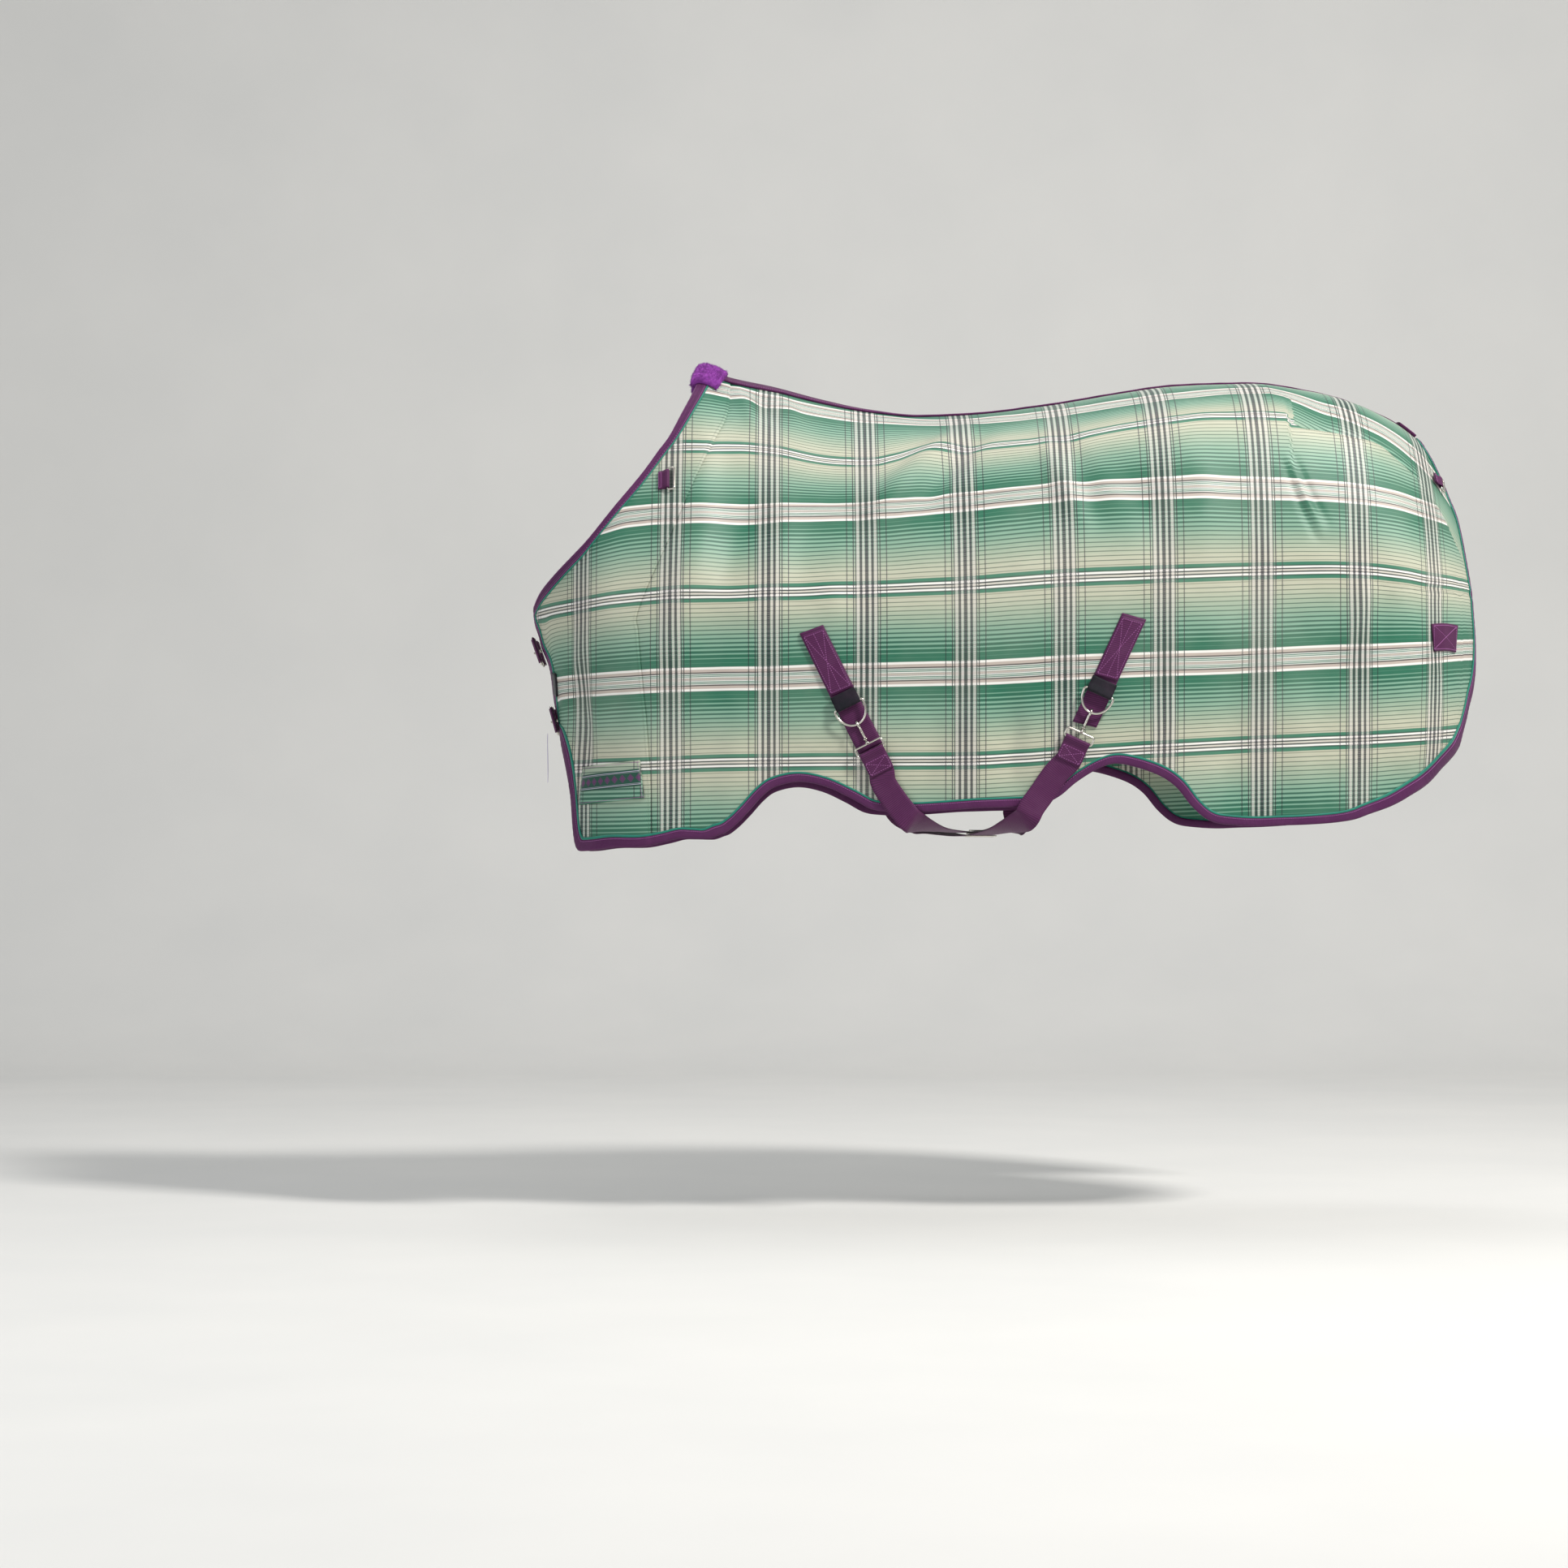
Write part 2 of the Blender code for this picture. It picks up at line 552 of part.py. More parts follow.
left = edge_rows(-1, neck, 0.0, NECK_BIND, -0.002, 0.002, TURN)
right = edge_rows(1, neck, 0.0, NECK_BIND, -0.002, 0.002, TURN)
crest = []
for d in (0.0, NECK_BIND):
    crest.append(place(1, neck[0][0] + d, 0.0))
up = Vector((0, 0, 1))
top_ring = [crest[0] - up * 0.002, crest[1] - up * 0.002, crest[1] + up * 0.002, crest[0] + up * 0.002]
skin("neck_binding", list(reversed(left[1:])) + [top_ring] + right[1:], PURPLE)

# cloth panels, their edges set in from the outline by the binding and the piping
SET_IN = PIPE + 3 * GAP + 0.0034
kept = clear_of_edge(SET_IN)
kept[np.flatnonzero(kept[:n_neck])[-1]] = False
inset = offset_path(path, bind + SET_IN, TURN)[kept]
n_neck = int(kept[:n_neck].sum())
seam_hem = seam[-1]
cut = n_neck + int(np.argmin(np.linalg.norm(inset[n_neck:] - seam_hem, axis=1)))
SEAM_HALF = 0.0004
RIDGE = 0.0035


def seam_side(offset):
    s = offset_path(seam, offset, 1)
    s[0][1] = RIDGE
    return s


def trimmed(s):
    """The seam line without the points beyond the inset hem."""
    hem_v = np.interp(s[-1][0], inset[n_neck + 12:cut + 6][:, 0], inset[n_neck + 12:cut + 6][:, 1])
    s = s[s[:, 1] < hem_v - 0.02]
    return np.concatenate([s, [[s[-1][0] + 0.0, hem_v]]])


ahead, behind = trimmed(seam_side(SEAM_HALF)), trimmed(seam_side(-SEAM_HALF))
if ahead[:, 0].mean() > behind[:, 0].mean():
    ahead, behind = behind, ahead


def clean(points, least=0.005):
    keep = [points[0]]
    for p in points[1:]:
        if np.linalg.norm(p - keep[-1]) > least:
            keep.append(p)
    if np.linalg.norm(keep[0] - keep[-1]) < least:
        keep.pop()
    return np.array(keep)


front_rim = [p for k, p in enumerate(inset[:cut + 1]) if p[1] > RIDGE and (k < n_neck or p[0] < ahead[-1][0] - 0.012)]
front_outline = clean(np.array(front_rim + list(ahead[::-1]) + [[inset[0][0] + 0.0015, RIDGE]]))
rear_rim = [p for p in inset[cut - 1:] if p[0] > behind[-1][0] + 0.012 and p[1] > RIDGE + 0.008]
dock_a = inset[-1][0] - 0.004
spine_line = [[a, RIDGE] for a in np.linspace(dock_a, behind[0][0], 28)]
body_outline = clean(np.array(list(behind) + rear_rim + spine_line[:-1]))

for side, word in ((-1, "left"), (1, "right")):
    cloth_panel(f"{word}_front_panel", side, front_outline, 0.085, PLAID)
    cloth_panel(f"{word}_body_panel", side, body_outline, 0.100, PLAID)
    cloth_panel(f"{word}_shoulder_lining", side, front_outline, 0.085, LINING, 0.0008, -0.0036)

# ---------------------------------------------------------------- spine, withers and dock
a_with, a_dock = neck[0][0], pattern(0.806, 0.0)[0]
WEB_OUT = CLOTH / 2 + 0.0008 + WEB / 2


def across_spine(a, reach, out, thick, count=3):
    """Ring of a piece lying over the spine at one station, left edge to right edge and back."""
    v = np.linspace(0, reach, count)
    low = [place(-1, a, q, out - thick / 2) for q in v[:0:-1]] + [place(1, a, q, out - thick / 2) for q in v]
    top = [place(-1, a, q, out + thick / 2) for q in v[:0:-1]] + [place(1, a, q, out + thick / 2) for q in v]
    return low + top[::-1]


skin("spine_webbing", [across_spine(a, 0.025, WEB_OUT + 0.0010, WEB) for a in np.linspace(a_with + 0.044, a_dock - 0.004, 28)], PURPLE)
skin("dock_webbing", [across_spine(a, 0.055, WEB_OUT + 0.0036, WEB, 4) for a in np.linspace(a_dock - 0.036, a_dock, 4)], PURPLE)


def pad_ring(side, q, inward, deep):
    """U section of the fleece pad, folded over the neck binding."""
    shape = [(-0.010, -deep), (0.026, -deep), (0.028, -0.0066), (0.022, -0.0068), (0.010, -0.0068),
             (-0.002, -0.0066), (-0.002, 0.0056), (0.010, 0.0058), (0.021, 0.0060), (0.026, 0.0060), (0.040, 0.0056), (0.038, 0.0130), (-0.009, 0.0130)]
    return [place(side, q[0] + inward[0] * d, max(0.0, q[1] + inward[1] * d), n) for d, n in shape]


pad_path = neck[:PAD_STEPS - 1]
pad_in = (offset_path(path, 1.0, TURN) - path)[:PAD_STEPS - 1]
pad_in[0] = (1.0, 0.0)
pad_deep = [0.0082, 0.0084] + [0.0100] * (len(pad_path) - 2)
pad_left = [pad_ring(-1, *q) for q in zip(pad_path, pad_in, pad_deep)]
pad_right = [pad_ring(1, *q) for q in zip(pad_path, pad_in, pad_deep)]
skin("wither_fleece_pad", pad_left[:0:-1] + [pad_left[0]] + pad_right[1:], FLEECE)

# ---------------------------------------------------------------- fittings on the cloth
def direction(x0z0, x1z1):
    d = np.array(pattern(*x1z1)) - np.array(pattern(*x0z0))
    return d / np.linalg.norm(d)


LOW = CLOTH / 2 + 0.0012
frames = {}
for side, word in ((-1, "left"), (1, "right")):
    # hood ring at the neck
    toward = np.array([0.82, 0.57])
    m = frame_at(side, pattern(-0.6300, -0.1500), toward, LOW + 0.0018 + 0.0005 + WEB)
    folded_tab(f"{word}_neck_tab", m, 0.040, 0.019, 0.0018, PURPLE, pinch=0.011)
    wire(f"{word}_neck_ring", rect_ring_points(0.0242, 0.013), 0.0018, m)
    # tail ring on the rear edge
    toward = np.array([0.85, -0.53])
    m = frame_at(side, pattern(0.8380, -0.150), toward, LOW + 0.0018 + 0.0005 + WEB + 0.0016)
    folded_tab(f"{word}_tail_tab", m, 0.026, 0.020, 0.0018, PURPLE, pinch=0.011)
    wire(f"{word}_tail_ring", rect_ring_points(0.0172, 0.013), 0.0018, m)
    # leg-strap ring inside, backed by a patch outside
    flat_band(f"{word}_leg_strap_patch", side, pattern(0.801, -0.452), pattern(0.853, -0.452), 0.052, WEB_OUT, PURPLE, square=True)
    m = frame_at(side, pattern(0.815, -0.452), np.array([0.0, 1.0]), LOW + 0.0020 + 0.0005 + WEB + 0.0030, inward=True)
    folded_tab(f"{word}_leg_strap_tab", m, 0.048, 0.032, 0.0020, PURPLE)
    wire(f"{word}_leg_strap_ring", d_ring_points(0.0280, 0.030), 0.0020, m)

flat_band("front_label_backing", -1, pattern(-0.794, -0.728), pattern(-0.676, -0.7165), 0.072, CLOTH / 2 + 0.0032, PLAID, 0.0010, 3, 6, square=True)
flat_band("front_label", -1, pattern(-0.791, -0.7235), pattern(-0.679, -0.7125), 0.032, CLOTH / 2 + 0.0050, LABEL, 0.0010, 2, 6, square=True)

# ---------------------------------------------------------------- chest closures
def chest_frame(x, z, lean, y, height):
    """Left bar of a chest closure: X up the front edge, Y towards the right side, Z forward."""
    ex = Vector((-lean, 0, 1)).normalized()
    ey = Vector((0, 1, 0))
    ez = ex.cross(ey)
    m = Matrix((ex, ey, ez)).transposed().to_4x4()
    m.translation = Vector((x, -y, z)) + ez * height
    return m


SPAN, CHEST_RING, CHEST_EYE = 0.066, 0.024, 0.014
for word, x, z, lean in (("upper", -0.8800, -0.461, 0.35), ("lower", -0.8465, -0.596, 0.27)):
    m = chest_frame(x, z, lean, SPAN / 2, 0.0092)
    folded_tab(f"chest_{word}_left_tab", m, 0.048, 0.046, 0.0020, PURPLE)
    snap_hook(f"chest_{word}", m, 0.0270, CHEST_EYE, SPAN - CHEST_RING + 0.00865 - CHEST_EYE)
    m2 = m @ Matrix.Translation((0, SPAN, 0)) @ Matrix.Rotation(math.pi, 4, "Z")
    folded_tab(f"chest_{word}_right_tab", m2, 0.048, 0.046, 0.0020, PURPLE)
    wire(f"chest_{word}_ring", d_ring_points(0.0280, CHEST_RING), 0.0020, m2)
flat_band("chest_tag", -1, pattern(-0.8500, -0.510), pattern(-0.8460, -0.552), 0.020, CLOTH / 2 + 0.0040, ELASTIC, 0.0010, 2, 3, square=True)

# ---------------------------------------------------------------- surcingles
HOOK_RUN, D_DEPTH, EYE = 0.097, 0.040, 0.016
SURCINGLES = {"front": ((-0.360, -0.438), (-0.2906, -0.5793), (-0.241, -0.6515)),
              "rear": ((0.238, -0.416), (0.1726, -0.558), (0.1300, -0.650))}
CROSS_X = -0.056
snaps = {}
for word, (top, bar, end) in SURCINGLES.items():
    p_top, p_bar = np.array(pattern(*top)), np.array(pattern(*bar))
    d = (p_bar - p_top) / np.linalg.norm(p_bar - p_top)
    run = 0.240 if word == "front" else 0.200
    flat_band(f"{word}_surcingle_tab", -1, p_top, p_top + d * run, WIDE, WEB_OUT, PURPLE, rows=7)
    flat_band(f"{word}_surcingle_overlay", -1, p_top + d * 0.005, p_bar - d * 0.027, 0.048, WEB_OUT + WEB + 0.0006, PURPLE, rows=4)
    m = frame_at(-1, p_bar, d, BAR_HEIGHT)
    folded_tab(f"{word}_surcingle_elastic", m, 0.049, 0.026, 0.00225, ELASTIC, pinch=0.014)
    wire(f"{word}_surcingle_ring", d_ring_points(0.0290, D_DEPTH), 0.00225, m)
    m2 = m @ Matrix.Translation((0, HOOK_RUN, 0)) @ Matrix.Rotation(math.pi, 4, "Z")
    snap_hook(f"{word}_surcingle", m2, 0.0270, EYE, HOOK_RUN - D_DEPTH + 0.00865 - EYE)
    snaps[word] = m2

# belly straps: from each left snap, under the belly, to the far anchor on the right side
FREE = {"front": [(-0.1745, -0.3025, -0.7950), (-0.154, -0.256, -0.8045), (-0.126, -0.187, -0.8105),
                  (-0.092, -0.095, -0.8130), (CROSS_X, 0.0, -0.8145)],
        "rear": [(0.0365, -0.3135, -0.7910), (0.016, -0.263, -0.8045), (-0.008, -0.193, -0.8135),
                 (-0.032, -0.095, -0.8190), (CROSS_X, 0.0, -0.8215)]}
SIDE_RUN = {"front": [(-0.2255, -0.7240, 0.0078), (-0.2065, -0.7540, 0.0085), (-0.1885, -0.7770, 0.0128)],
            "rear": [(0.0915, -0.7080, 0.0080), (0.0680, -0.7420, 0.0085), (0.0490, -0.7680, 0.0128)]}
ANCHOR = {"front": [(0.058, -0.768), (0.072, -0.744), (0.094, -0.708), (0.128, -0.644), (0.166, -0.570)],
          "rear": [(-0.174, -0.777), (-0.190, -0.756), (-0.212, -0.722), (-0.252, -0.656), (-0.292, -0.584)]}


def strap_route(word):
    """(point, outward normal) pairs along a belly strap, from just past its fold to its sewn end."""
    m = snaps[word]
    out = (m.to_3x3() @ Vector((0, 0, 1))).normalized()
    r = 0.0020 + 0.0005 + WEB / 2
    pairs = [(m @ Vector((0, -0.016, -r)), out), (m @ Vector((0, -0.040, -r)), out)]
    for x, z, h in SIDE_RUN[word]:
        a, v = pattern(x, z)
        n = normal(a, v)
        pairs.append((place(-1, a, v, h), Vector((n[0], -n[1], n[2]))))
    for x, y, z in FREE[word]:
        t = min(1.0, abs(y) / 0.30)
        pairs.append((Vector((x, y, z)), Vector((0, -t**3, -(1 - t**3))).normalized()))
    for x, y, z in FREE[word][-2::-1]:
        t = min(1.0, abs(y) / 0.30)
        pairs.append((Vector((2 * CROSS_X - x, -y, z)), Vector((0, t**3, -(1 - t**3))).normalized()))
    for k, (x, z) in enumerate(ANCHOR[word]):
        a, v = pattern(x, z)
        n = normal(a, v)
        pairs.append((place(1, a, v, (0.0125, 0.0088, 0.0064, 0.0040, 0.0036)[k]), Vector((n[0], n[1], n[2]))))
    return pairs


def belly_strap(name, word):
    m = snaps[word]
    pairs = strap_route(word)
    six = curve_through([(*p, *(n * 0.05)) for p, n in pairs], 0.028)
    r = 0.0020 + 0.0005 + WEB / 2
    fold = [(-0.044, -r + WEB + 0.00045), (-0.013, -r + WEB + 0.00045), (0, r)] + arc(0, 0, r, 60, -60, 5) + [(0, -r)]
    points = [m @ Vector((0, y, z)) for y, z in fold]
    bar = (m.to_3x3() @ Vector((1, 0, 0))).normalized()
    widths = [bar] * len(points)
    route = [Vector(q[:3]) for q in six]
    last = -bar
    for k, q in enumerate(route):
        t = route[min(k + 1, len(route) - 1)] - route[max(k - 1, 0)]
        w = Vector(six[k][3:]).cross(t).normalized()
        if w.dot(last) < 0:
            w = -w
        last = w
        points.append(q)
        widths.append(w if w.dot(bar) > 0 or k else bar)
    first = widths[len(fold)]
    if first.dot(bar) < 0:
        widths = widths[:len(fold)] + [-w for w in widths[len(fold):]]
    skin(name, ribbon_rows(points, widths, 0.048, WEB), PURPLE)
    return route, [Vector(q[3:]).normalized() for q in six]


def slider(name, route, normals, y):
    """Three-bar slide threaded on a strap: outer frame on one face, centre bar on the other."""
    k = int(np.argmin([abs(q.y - y) for q in route]))
    t = (route[k + 1] - route[k - 1]).normalized()
    n = (normals[k] - t * normals[k].dot(t)).normalized()
    m = Matrix((t.cross(n), t, n)).transposed().to_4x4()
    m.translation = route[k]
    gap = WEB / 2 + 0.0009
    base = box(name, (0.0600, 0.0045, 0.0022), m, NICKEL, (0, 0.0110, gap + 0.0011))
    parts = [box(name + "_b", (0.0600, 0.0045, 0.0022), m, NICKEL, (0, -0.0110, gap + 0.0011))]
    for s in (-1, 1):
        parts.append(box(f"{name}_s{s + 1}", (0.0040, 0.0265, 0.0022), m, NICKEL, (s * 0.0280, 0, gap + 0.0011)))
        parts.append(box(f"{name}_l{s + 1}", (0.0030, 0.0050, 2 * gap + 0.0030), m, NICKEL, (s * 0.0275, 0, 0)))
    parts.append(box(name + "_c", (0.0580, 0.0050, 0.0018), m, NICKEL, (0, 0, -gap - 0.0009)))
    union(base, *parts)
    return base


for word, at in (("front", 0.095), ("rear", -0.095)):
    route, normals = belly_strap(f"{word}_belly_strap", word)
    slider(f"{word}_strap_slider", route, normals, at)

# hang-tag string: a doubled loop from the lower chest closure
knot = Vector((-0.8665, -0.0560, -0.6245))
string = [knot + Vector(q) for q in ((0, 0, 0), (-0.0005, 0.0004, -0.016), (0.0, 0.0, -0.045), (0.0006, -0.0004, -0.075),
                                     (0.0004, 0.0010, -0.0905), (0.0000, 0.0040, -0.0945), (0.0002, 0.0066, -0.0900),
                                     (0.0008, 0.0050, -0.070), (0.0004, 0.0042, -0.045), (-0.0004, 0.0044, -0.018), (0, 0.0048, -0.004))]
string = curve_through(string, 0.0045)
wire("tag_string", [tuple(q) for q in string], 0.0007, Matrix.Identity(4), cyclic=False, mat=STRING)
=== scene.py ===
"""Looks of the horse turnout rug: draped plaid mesh, bindings, webbing, fleece, labels and fittings."""
import math

import bmesh
import bpy
import numpy as np
from mathutils import Matrix, Vector, geometry, noise


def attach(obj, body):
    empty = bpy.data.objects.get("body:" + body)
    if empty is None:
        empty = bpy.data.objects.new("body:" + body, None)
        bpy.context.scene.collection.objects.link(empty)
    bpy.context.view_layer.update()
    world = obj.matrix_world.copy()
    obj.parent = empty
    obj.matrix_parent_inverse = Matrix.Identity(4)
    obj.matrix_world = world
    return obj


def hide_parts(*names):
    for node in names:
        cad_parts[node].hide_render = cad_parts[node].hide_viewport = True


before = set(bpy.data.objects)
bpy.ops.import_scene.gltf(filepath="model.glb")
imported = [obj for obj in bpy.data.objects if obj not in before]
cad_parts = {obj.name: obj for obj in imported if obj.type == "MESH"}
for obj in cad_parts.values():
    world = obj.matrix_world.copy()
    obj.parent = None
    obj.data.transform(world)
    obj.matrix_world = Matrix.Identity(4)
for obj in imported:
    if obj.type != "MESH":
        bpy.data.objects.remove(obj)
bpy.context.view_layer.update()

scene = bpy.context.scene

# ---------------------------------------------------------------- camera
cam = bpy.data.objects.new("camera", bpy.data.cameras.new("camera"))
cam.data.lens = 80.4
cam.data.sensor_width = 36.0
cam.location = (-0.411, -6.8, -0.853)
cam.rotation_euler = (math.radians(91.115), 0, 0)
scene.collection.objects.link(cam)
scene.camera = cam

# ---------------------------------------------------------------- dimensions
CLOTH = 0.0024          # coated mesh with its seam allowance
WEB = 0.0018            # polypropylene webbing
WIDE = 0.050            # surcingle webbing
NECK_BIND, EDGE_BIND = 0.021, 0.0145
PIPE = 0.0034
GAP = 0.0003
BAR_HEIGHT = 0.0122     # surcingle D-ring bar above the cloth

# spine height along the back; ahead of the withers and behind the dock it is the line the side sections hang from
SPINE = [(-0.95, -0.285), (-0.876, -0.205), (-0.814, -0.135), (-0.748, -0.062), (-0.683, 0.0), (-0.64, 0.042),
         (-0.6, 0.074), (-0.565, 0.084), (-0.52, 0.0675), (-0.433, 0.0484), (-0.337, 0.0232), (-0.247, 0.0042),
         (-0.151, -0.0065), (-0.042, -0.003), (0.104, 0.0137), (0.2225, 0.0327), (0.355, 0.0510), (0.489, 0.0545),
         (0.621, 0.0354), (0.754, -0.0131), (0.82, -0.0560), (0.85, -0.084), (0.88, -0.122), (0.95, -0.24)]
# half width of the body, drop from the spine to the widest level, and how square the section is (2 is an ellipse)
BODY = [(-0.95, 0.20, 0.34, 2.0), (-0.75, 0.240, 0.38, 1.85), (-0.60, 0.265, 0.45, 1.45), (-0.50, 0.272, 0.46, 1.38),
        (-0.35, 0.280, 0.46, 1.48), (-0.15, 0.300, 0.45, 1.7), (0.05, 0.314, 0.43, 1.9), (0.25, 0.318, 0.40, 2.1),
        (0.45, 0.308, 0.38, 2.3), (0.60, 0.300, 0.37, 2.4), (0.75, 0.288, 0.36, 2.4), (0.95, 0.27, 0.36, 2.3)]
# how far forward and back the body reaches at each height
FRONT = [(-1.0, -0.866), (-0.85, -0.857), (-0.774, -0.852), (-0.70, -0.843), (-0.62, -0.841), (-0.56, -0.857),
         (-0.50, -0.868), (-0.45, -0.886), (-0.40, -0.903), (-0.35, -0.915), (0.2, -0.915)]
REAR = [(-1.0, 0.87), (-0.85, 0.872), (-0.726, 0.887), (-0.644, 0.921), (-0.5525, 0.930), (-0.48, 0.935),
        (-0.362, 0.930), (-0.2816, 0.917), (-0.2145, 0.904), (-0.166, 0.885), (-0.10, 0.868), (0.2, 0.86)]
FRONT_ROUND, REAR_ROUND = 0.20, 0.25

# side-view outlines, (x, z)
NECK = [(-0.565, 0.084), (-0.580, 0.050), (-0.5946, 0.0131), (-0.626, -0.054), (-0.6517, -0.0922), (-0.6833, -0.138),
        (-0.7166, -0.180), (-0.7483, -0.220), (-0.7816, -0.261), (-0.8138, -0.2933), (-0.8471, -0.326),
        (-0.8761, -0.3553), (-0.8920, -0.3844)]
FRONT_EDGE = [(-0.8920, -0.3844), (-0.8915, -0.405), (-0.8850, -0.430), (-0.8780, -0.455), (-0.8650, -0.490),
              (-0.8580, -0.535), (-0.8465, -0.590), (-0.8360, -0.625), (-0.8280, -0.660), (-0.8210, -0.702),
              (-0.8145, -0.774), (-0.8060, -0.840)]
HEM = [(-0.8060, -0.840), (-0.785, -0.8500), (-0.713, -0.8438), (-0.6466, -0.8363), (-0.5688, -0.8272),
       (-0.5293, -0.8196), (-0.5034, -0.803), (-0.4777, -0.777), (-0.452, -0.7485), (-0.4262, -0.7303),
       (-0.3807, -0.7214), (-0.3338, -0.7304), (-0.2872, -0.7518), (-0.2479, -0.7725), (-0.2106, -0.7777),
       (-0.1518, -0.7777), (-0.0584, -0.7712), (0.0019, -0.7692), (0.060, -0.7660), (0.0980, -0.7500),
       (0.1321, -0.7221), (0.1757, -0.6960), (0.214, -0.6888), (0.2773, -0.7069), (0.3159, -0.7308),
       (0.3475, -0.7686), (0.380, -0.7940), (0.420, -0.8020), (0.483, -0.8040), (0.5545, -0.8015), (0.6335, -0.795),
       (0.679, -0.7817), (0.7332, -0.7617), (0.7956, -0.7262), (0.8375, -0.686), (0.870, -0.644), (0.897, -0.5525),
       (0.9055, -0.481), (0.9045, -0.420), (0.902, -0.3623), (0.893, -0.2816), (0.881, -0.2145), (0.865, -0.1657),
       (0.845, -0.115), (0.8286, -0.080), (0.822, -0.060)]
SEAM = [(-0.515, 0.066), (-0.518, -0.004), (-0.540, -0.060), (-0.5726, -0.130), (-0.620, -0.245), (-0.683, -0.397),
        (-0.684, -0.440), (-0.6760, -0.530), (-0.6676, -0.624), (-0.6615, -0.719), (-0.6590, -0.8370)]


# ---------------------------------------------------------------- the draped surface
def smooth(points):
    """A monotone cubic through (x, y) points."""
    x, y = (np.array(c, float) for c in zip(*points))
    h = np.diff(x)
    d = np.diff(y) / h
    m = np.zeros_like(y)
    m[0], m[-1] = d[0], d[-1]
    for k in range(1, len(x) - 1):
        if d[k - 1] * d[k] > 0:
            w1, w2 = 2 * h[k] + h[k - 1], h[k] + 2 * h[k - 1]
            m[k] = (w1 + w2) / (w1 / d[k - 1] + w2 / d[k])

    def at(q):
        q = np.clip(np.asarray(q, float), x[0], x[-1])
        k = np.clip(np.searchsorted(x, q, side="right") - 1, 0, len(x) - 2)
        t = (q - x[k]) / h[k]
        return ((2 * t**3 - 3 * t**2 + 1) * y[k] + (t**3 - 2 * t**2 + t) * h[k] * m[k]
                + (3 * t**2 - 2 * t**3) * y[k + 1] + (t**3 - t**2) * h[k] * m[k + 1])
    return at


spine_z = smooth(SPINE)
half_width = smooth([(b[0], b[1]) for b in BODY])
drop = smooth([(b[0], b[2]) for b in BODY])
squareness = smooth([(b[0], b[3]) for b in BODY])
front_x = smooth(FRONT)
rear_x = smooth(REAR)


def rounded(s):
    return np.sqrt(np.clip(1 - (1 - np.clip(s, 0, 1)) ** 2.2, 0, 1))


def side_y(x, z):
    """Half width of the rug at a side-view point."""
    zt, w, h, n = spine_z(x), half_width(x), drop(x), squareness(x)
    up = np.clip((z - (zt - h)) / h, 0, 1)
    y = w * (1 - up**n) ** (1 / n)
    below = np.clip((zt - h) - z, 0, 1)
    y = y * (1 - 0.25 * below**2)
    return y * rounded((x - front_x(z)) / FRONT_ROUND) * rounded((rear_x(z) - x) / REAR_ROUND)


X_FROM, X_TO, NX, NZ, NV = -0.9149, 0.9349, 371, 400, 261
V_MOST = 1.30
_x = X_FROM + (X_TO - X_FROM) * np.linspace(0, 1, NX)
_fine = np.linspace(X_FROM, X_TO, 4001)
_run = np.concatenate([[0], np.cumsum(np.hypot(np.diff(_fine), np.diff(side_y(_fine, -0.43 + 0 * _fine))))])
_run -= np.interp(0.0, _fine, _run)
A_FROM, A_TO = _run[0], _run[-1]
_a = np.linspace(A_FROM, A_TO, NX)
_xa = np.interp(_a, _run, _fine)
_v = np.linspace(0, V_MOST, NV)
_grid = np.zeros((NX, NV, 3))
_drops = 1.0 * np.linspace(0, 1, NZ) ** 2
_depth = np.zeros((NX, NZ))
for _i, _xi in enumerate(_xa):
    _z = spine_z(_xi) - _drops
    _y = side_y(_xi + 0 * _z, _z)
    _len = np.concatenate([[0], np.cumsum(np.hypot(np.diff(_y), np.diff(_z)))])
    _depth[_i] = _len
    _grid[_i, :, 0] = _xi
    _grid[_i, :, 1] = np.interp(_v, _len, _y)
    _grid[_i, :, 2] = np.interp(_v, _len, _z)


def pattern(x, z):
    """Flat-pattern place (a, v) of a side-view point: a runs nose to tail, v down from the spine."""
    a = float(np.interp(x, _fine, _run))
    f = (a - A_FROM) / (A_TO - A_FROM) * (NX - 1)
    i = min(int(f), NX - 2)
    f -= i
    d = math.sqrt(max(0.0, float(spine_z(x)) - z)) * (NZ - 1)
    j = min(int(d), NZ - 2)
    d -= j
    row = _depth[i, j:j + 2] * (1 - f) + _depth[i + 1, j:j + 2] * f
    return a, float(row[0] * (1 - d) + row[1] * d)


def surface(a, v):
    """Point of the left side (y as a positive half width) at a flat-pattern place."""
    f = np.clip((a - A_FROM) / (A_TO - A_FROM), 0, 1) * (NX - 1)
    g = np.clip(v / V_MOST, 0, 1) * (NV - 1)
    i, j = min(int(f), NX - 2), min(int(g), NV - 2)
    f, g = f - i, g - j
    return ((_grid[i, j] * (1 - f) + _grid[i + 1, j] * f) * (1 - g)
            + (_grid[i, j + 1] * (1 - f) + _grid[i + 1, j + 1] * f) * g)


def normal(a, v):
    e = 0.006
    ta = surface(a + e, v) - surface(a - e, v)
    if v < e:
        tv = surface(a, v + 2 * e) - surface(a, v)
        if v < 1e-6:
            tv = np.array([0, 1.0, 0])
    else:
        tv = surface(a, v + e) - surface(a, v - e)
    n = np.cross(tv, ta)
    n = n if n[1] > 0 or abs(n[1]) < 1e-9 else -n
    if v < 1e-6 and n[2] < 0:
        n = -n
    return n / np.linalg.norm(n)


def place(side, a, v, out=0.0):
    """World point on a side (-1 left, +1 right), raised from the cloth by out."""
    p = surface(a, abs(v)) + out * normal(a, abs(v))
    return Vector((p[0], side * p[1], p[2]))


